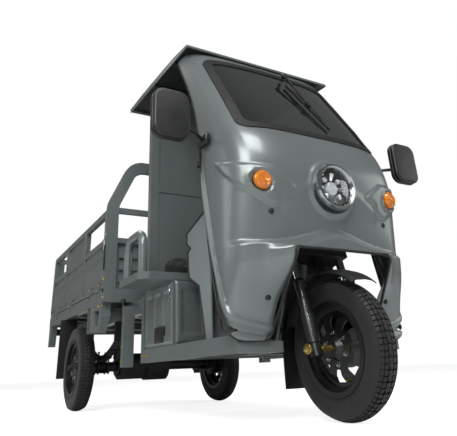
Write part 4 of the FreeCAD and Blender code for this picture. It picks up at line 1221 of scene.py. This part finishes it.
def board_skins():
    """Pressed outer skins, post beads and latches of the three folding boards."""
    for side, tag in SIDES:
        body = f"{tag}_board"
        skins = bay_skins(BAYS, lambda middle, side=side: flank(side, 539, middle, BAY_MIDDLE))
        shown(joined(skins), f"{tag}_board_skins", "paint", body, 50)
        beads = [outline_plate(rounded(wide, 430, 9), 4, 3, flank(side, 549.5, station, POST_MIDDLE))
                 for wide, stations in ((18, END_POSTS), (24, MIDDLE_POSTS))
                 for station in stations]
        shown(joined(beads), f"{tag}_board_posts", "paint", body, 50)
        catch = [outline_plate(rounded(26, 96, 8), 4, 1.2, flank(side, 553, END_POSTS[0], 900)),
                 tube([at(560 * side, END_POSTS[0], z) for z in (938, 872)], 5)]
        shown(joined(catch), f"{tag}_board_latch", "bezel", body)
    gate = bay_skins(((-479, -18), (18, 479)),
                     lambda middle: facing(at(middle, 2852, BAY_MIDDLE), (0, 1, 0)))
    shown(joined(gate), "tailgate_skins", "paint", "rear_board", 50)
    beads = [outline_plate(rounded(24, 430, 9), 4, 3,
                           facing(at(x, 2862.5, POST_MIDDLE), (0, 1, 0)))
             for x in (-494, 0, 494)]
    shown(joined(beads), "tailgate_posts", "paint", "rear_board", 50)


def latch_straps():
    """Black straps that hang from the head guard beside each front latch."""
    straps = [outline_plate(rounded(22, 150, 8), 3, 1, flank(side, 558, 1312, 830))
              for side in (1, -1)]
    shown(joined(straps), "latch_straps", "rubber", "chassis", 50)


def bolted(name, spots, radius, height, body, finish="zinc"):
    """Hexagon bolts at places, each with the way it points."""
    shown(copied(hexagon_bolt(radius, height), [aimed(at(*place), out) for place, out in spots]),
          name, finish, body, 30)


def flank_spots(across, spots):
    """Places on both flanks, from their stations and heights, each pointing outwards."""
    return [((across * side, station, height), (side, 0, 0))
            for side in (1, -1) for station, height in spots]


REAR_AXLE = 1953
HUB_HEIGHT = 250
HINGE_SCREW = (3.4, 3)
WHEEL_NUT = (7, 9)


def fasteners():
    """Bolts of the sills, brackets, hinges, wheels and axles."""
    frame_bolts = (flank_spots(400, [(1010, 278), (1070, 278)])
                   + flank_spots(548, [(y, 562) for y in (1345, 1420, 1560, 2306, 2835)])
                   + flank_spots(465, [(1207, 260), (1207, 330)])
                   + flank_spots(557, [(1309, 600), (1309, 700), (1309, 960)]))
    bolted("frame_bolts", frame_bolts, 6.5, 6, "chassis")
    ring = [(57 * math.cos(turn), 57 * math.sin(turn))
            for turn in (math.radians(22.5 + 60 * step) for step in range(6))]
    for side, tag in SIDES:
        screws = [((554 * side, station + along, 683), (side, 0, 0))
                  for station in SIDE_HINGES for along in (-11, 11)]
        bolted(f"{tag}_hinge_screws", screws, *HINGE_SCREW, f"{tag}_board")
    bed_screws = flank_spots(554, [(y + along, 630) for y in SIDE_HINGES for along in (-27, 27)])
    bolted("bed_hinge_screws", bed_screws, *HINGE_SCREW, "chassis")
    tail_screws = [((x + along, 2867, 683), (0, 1, 0))
                   for x in TAIL_HINGES for along in (-11, 11)]
    bolted("tail_hinge_screws", tail_screws, *HINGE_SCREW, "rear_board")
    nuts = [((-26, y, HUB_HEIGHT + z), (-1, 0, 0)) for y, z in ring]
    bolted("front_wheel_nuts", nuts, *WHEEL_NUT, "front_wheel", "bezel")
    for side, tag in SIDES:
        nuts = [((534 * side, REAR_AXLE + y, HUB_HEIGHT + z), (side, 0, 0)) for y, z in ring]
        bolted(f"rear_{tag}_wheel_nuts", nuts, *WHEEL_NUT, f"rear_wheel_{tag}", "bezel")
    bolted("front_axle_nuts", flank_spots(158, [(0, HUB_HEIGHT)]), 14, 11, "steering")
    ties = [((x * side, REAR_AXLE + along, 335), (0, 0, 1)) for side in (1, -1)
            for x in (327, 393) for along in (-40, 40)]
    bolted("spring_clamp_nuts", ties, 8, 7, "chassis")


def wheel_valves():
    """Bent brass valves through the rims."""
    for body, x, station, side in (("front_wheel", 0, 0, -1),
                                   ("rear_wheel_left", 508, REAR_AXLE, 1),
                                   ("rear_wheel_right", -508, REAR_AXLE, -1)):
        bends = ((8, -62, -118), (20, -58, -108), (48, -60, -112))
        route = rounded_route([at(x + u * side, station + v, HUB_HEIGHT + w)
                               for u, v, w in bends], 9)
        shown(tube(route, 3.6), f"{body}_valve", "zinc", body, 60)


def fork_fittings():
    """Wiper rings at the slider tops, and bright-edged panels engraved down each slider."""
    lean = math.radians(14)
    up = Vector((0, math.sin(lean), math.cos(lean)))
    rings, edges = [], []
    for side in (1, -1):
        foot = at(122 * side, 0, HUB_HEIGHT)
        rings.append(turned([(17.5, 14), (22, 12), (25, 6), (26, 0), (17.5, 0)],
                            aimed(foot + up * 0.255, up), 40))
        out = Vector((0.42 * side, -0.88, 0.22)).normalized()
        across = up.cross(out).normalized()
        for low, high, half, reach in ((36, 120, 5, 30.2), (134, 176, 4, 24.2),
                                       (184, 214, 4, 24.2)):
            corners = [(-half, low), (half, low), (half, high), (-half, high)]
            route = [foot + out * reach * MM + across * u * MM + up * v * MM for u, v in corners]
            edges.append(tube(route, 0.9, closed=True, sides=8))
    shown(joined(rings), "fork_wiper_rings", "rubber", "steering", 50)
    shown(joined(edges), "fork_panel_edges", "bezel", "steering", 50)


def corner_knobs():
    """Black ball knobs on bent rods at the bed's front corners, and the corner plugs."""
    ball = turned([(0, 15), (8, 13), (13.5, 7), (15, 0), (13.5, -7), (8, -13), (0, -15)], steps=24)
    shown(copied(ball, [Matrix.Translation(at(458 * side, 1238, 573)) for side in (1, -1)]),
          "corner_knobs", "abs", "chassis", 60)
    rods = [tube(rounded_route([at(458 * side, 1238, 566), at(458 * side, 1232, 540),
                                at(455 * side, 1208, 515)], 14), 5) for side in (1, -1)]
    shown(joined(rods), "corner_rods", "powder", "chassis", 60)
    plug = turned([(0, 4), (10, 3.4), (13, 0), (0, 0)], steps=28)
    places = [aimed(at(*place), out) for place, out in flank_spots(557, [(1309, 640)])]
    shown(copied(plug, places), "hoop_plugs", "rubber", "chassis")


def tail_lamps():
    """Tail lamps: a black base, a ribbed red lens and an amber end."""
    for side, tag in SIDES:
        rear = facing(at(465 * side, 2864, 540), (0, 1, 0))
        base = outline_plate(rounded(90, 50, 7), 12, 1.5, rear)
        shown(base, f"tail_{tag}_base", "abs", "chassis", 40, ["tail_lamps"] if side > 0 else [])
        for x, wide, finish in ((-15, 54, "red"), (29, 26, "amber")):
            glass = pressing(wide, 42, lambda u, v, wide=wide: 12 + 10 * smooth(
                min(wide / 2 - abs(u), 21 - abs(v)) / 5) + 0.8 * math.cos(v * 1.2), rear, 2)
            glass.location.x = x * MM * -side
            shown(glass, f"tail_{tag}_{finish}", finish, "chassis", 50)


# ---------------------------------------------------------------- camera, floor and light


def camera():
    """A low view of the right front corner, looking up at the cab."""
    yaw, pitch, roll = (math.radians(angle) for angle in (29.95, 23.24, -2.58))
    ahead = Vector((math.sin(yaw) * math.cos(pitch), math.cos(yaw) * math.cos(pitch),
                    math.sin(pitch)))
    level = Vector((math.cos(yaw), -math.sin(yaw), 0))
    upright = level.cross(ahead)
    right = level * math.cos(roll) + upright * math.sin(roll)
    up = upright * math.cos(roll) - level * math.sin(roll)
    bpy.ops.object.camera_add()
    eye = bpy.context.object
    eye.name = "view"
    eye.matrix_world = Matrix.Translation((-1.337, -2.861, 0.185)) @ Matrix(
        (right, up, -ahead)).transposed().to_4x4()
    eye.data.lens = 38.97
    eye.data.sensor_width = 36
    eye.data.shift_y = -0.128
    eye.data.clip_end = 200
    bpy.context.scene.camera = eye


def floor():
    bpy.ops.mesh.primitive_plane_add(size=120)
    paper = bpy.context.object
    paper.name = "studio_floor"
    paper.data.materials.append(studio_floor())


def softbox(name, place, aim, width, height, power):
    """A large soft lamp that looks from its place to a point."""
    bpy.ops.object.light_add(type="AREA", location=place)
    lamp = bpy.context.object
    lamp.name = name
    lamp.rotation_euler = (Vector(aim) - Vector(place)).to_track_quat("-Z", "Y").to_euler()
    lamp.data.shape = "RECTANGLE"
    lamp.data.size = width
    lamp.data.size_y = height
    lamp.data.energy = power


def lighting():
    softbox("key_left", (-3.2, -4.2, 3.6), (0, -0.6, 0.9), 2.4, 2.4, 195)
    softbox("fill_right", (4.5, -3.0, 2.2), (0, 0, 0.8), 3.0, 2.4, 40)
    softbox("side_left", (-5.0, 1.0, 2.6), (0, 0.4, 0.7), 3.0, 2.0, 34)
    softbox("top", (0, 2.0, 5.0), (0, 0.8, 0), 3.5, 3.0, 120)
    softbox("front_top", (-0.6, -3.6, 4.6), (0, -1.4, 0.6), 2.2, 1.6, 110)
    world = bpy.data.worlds.new("studio_air")
    bpy.context.scene.world = world
    world.use_nodes = True
    tree = world.node_tree
    tree.nodes.clear()
    seen = add(tree, "LightPath").outputs["Is Camera Ray"]
    level = add(tree, "MapRange", {"Value": seen, "To Min": 0.17, "To Max": 1.0})
    air = add(tree, "Background", {"Color": (1, 1, 1, 1), "Strength": level.outputs["Result"]})
    add(tree, "OutputWorld", {"Surface": air.outputs["Background"]})
    bpy.context.scene.view_settings.view_transform = "Standard"


camera()
floor()
lighting()
finish_nodes()
front_shell()
shell_trim()
shell_plugs()
headlamp()
signal_lamps()
tyres()
seat_cushion()
seat_box_panels()
mirror_pair()
wiper()
roof_details()
instrument_and_levers()
panel_edging()
board_skins()
latch_straps()
fasteners()
wheel_valves()
fork_fittings()
corner_knobs()
tail_lamps()
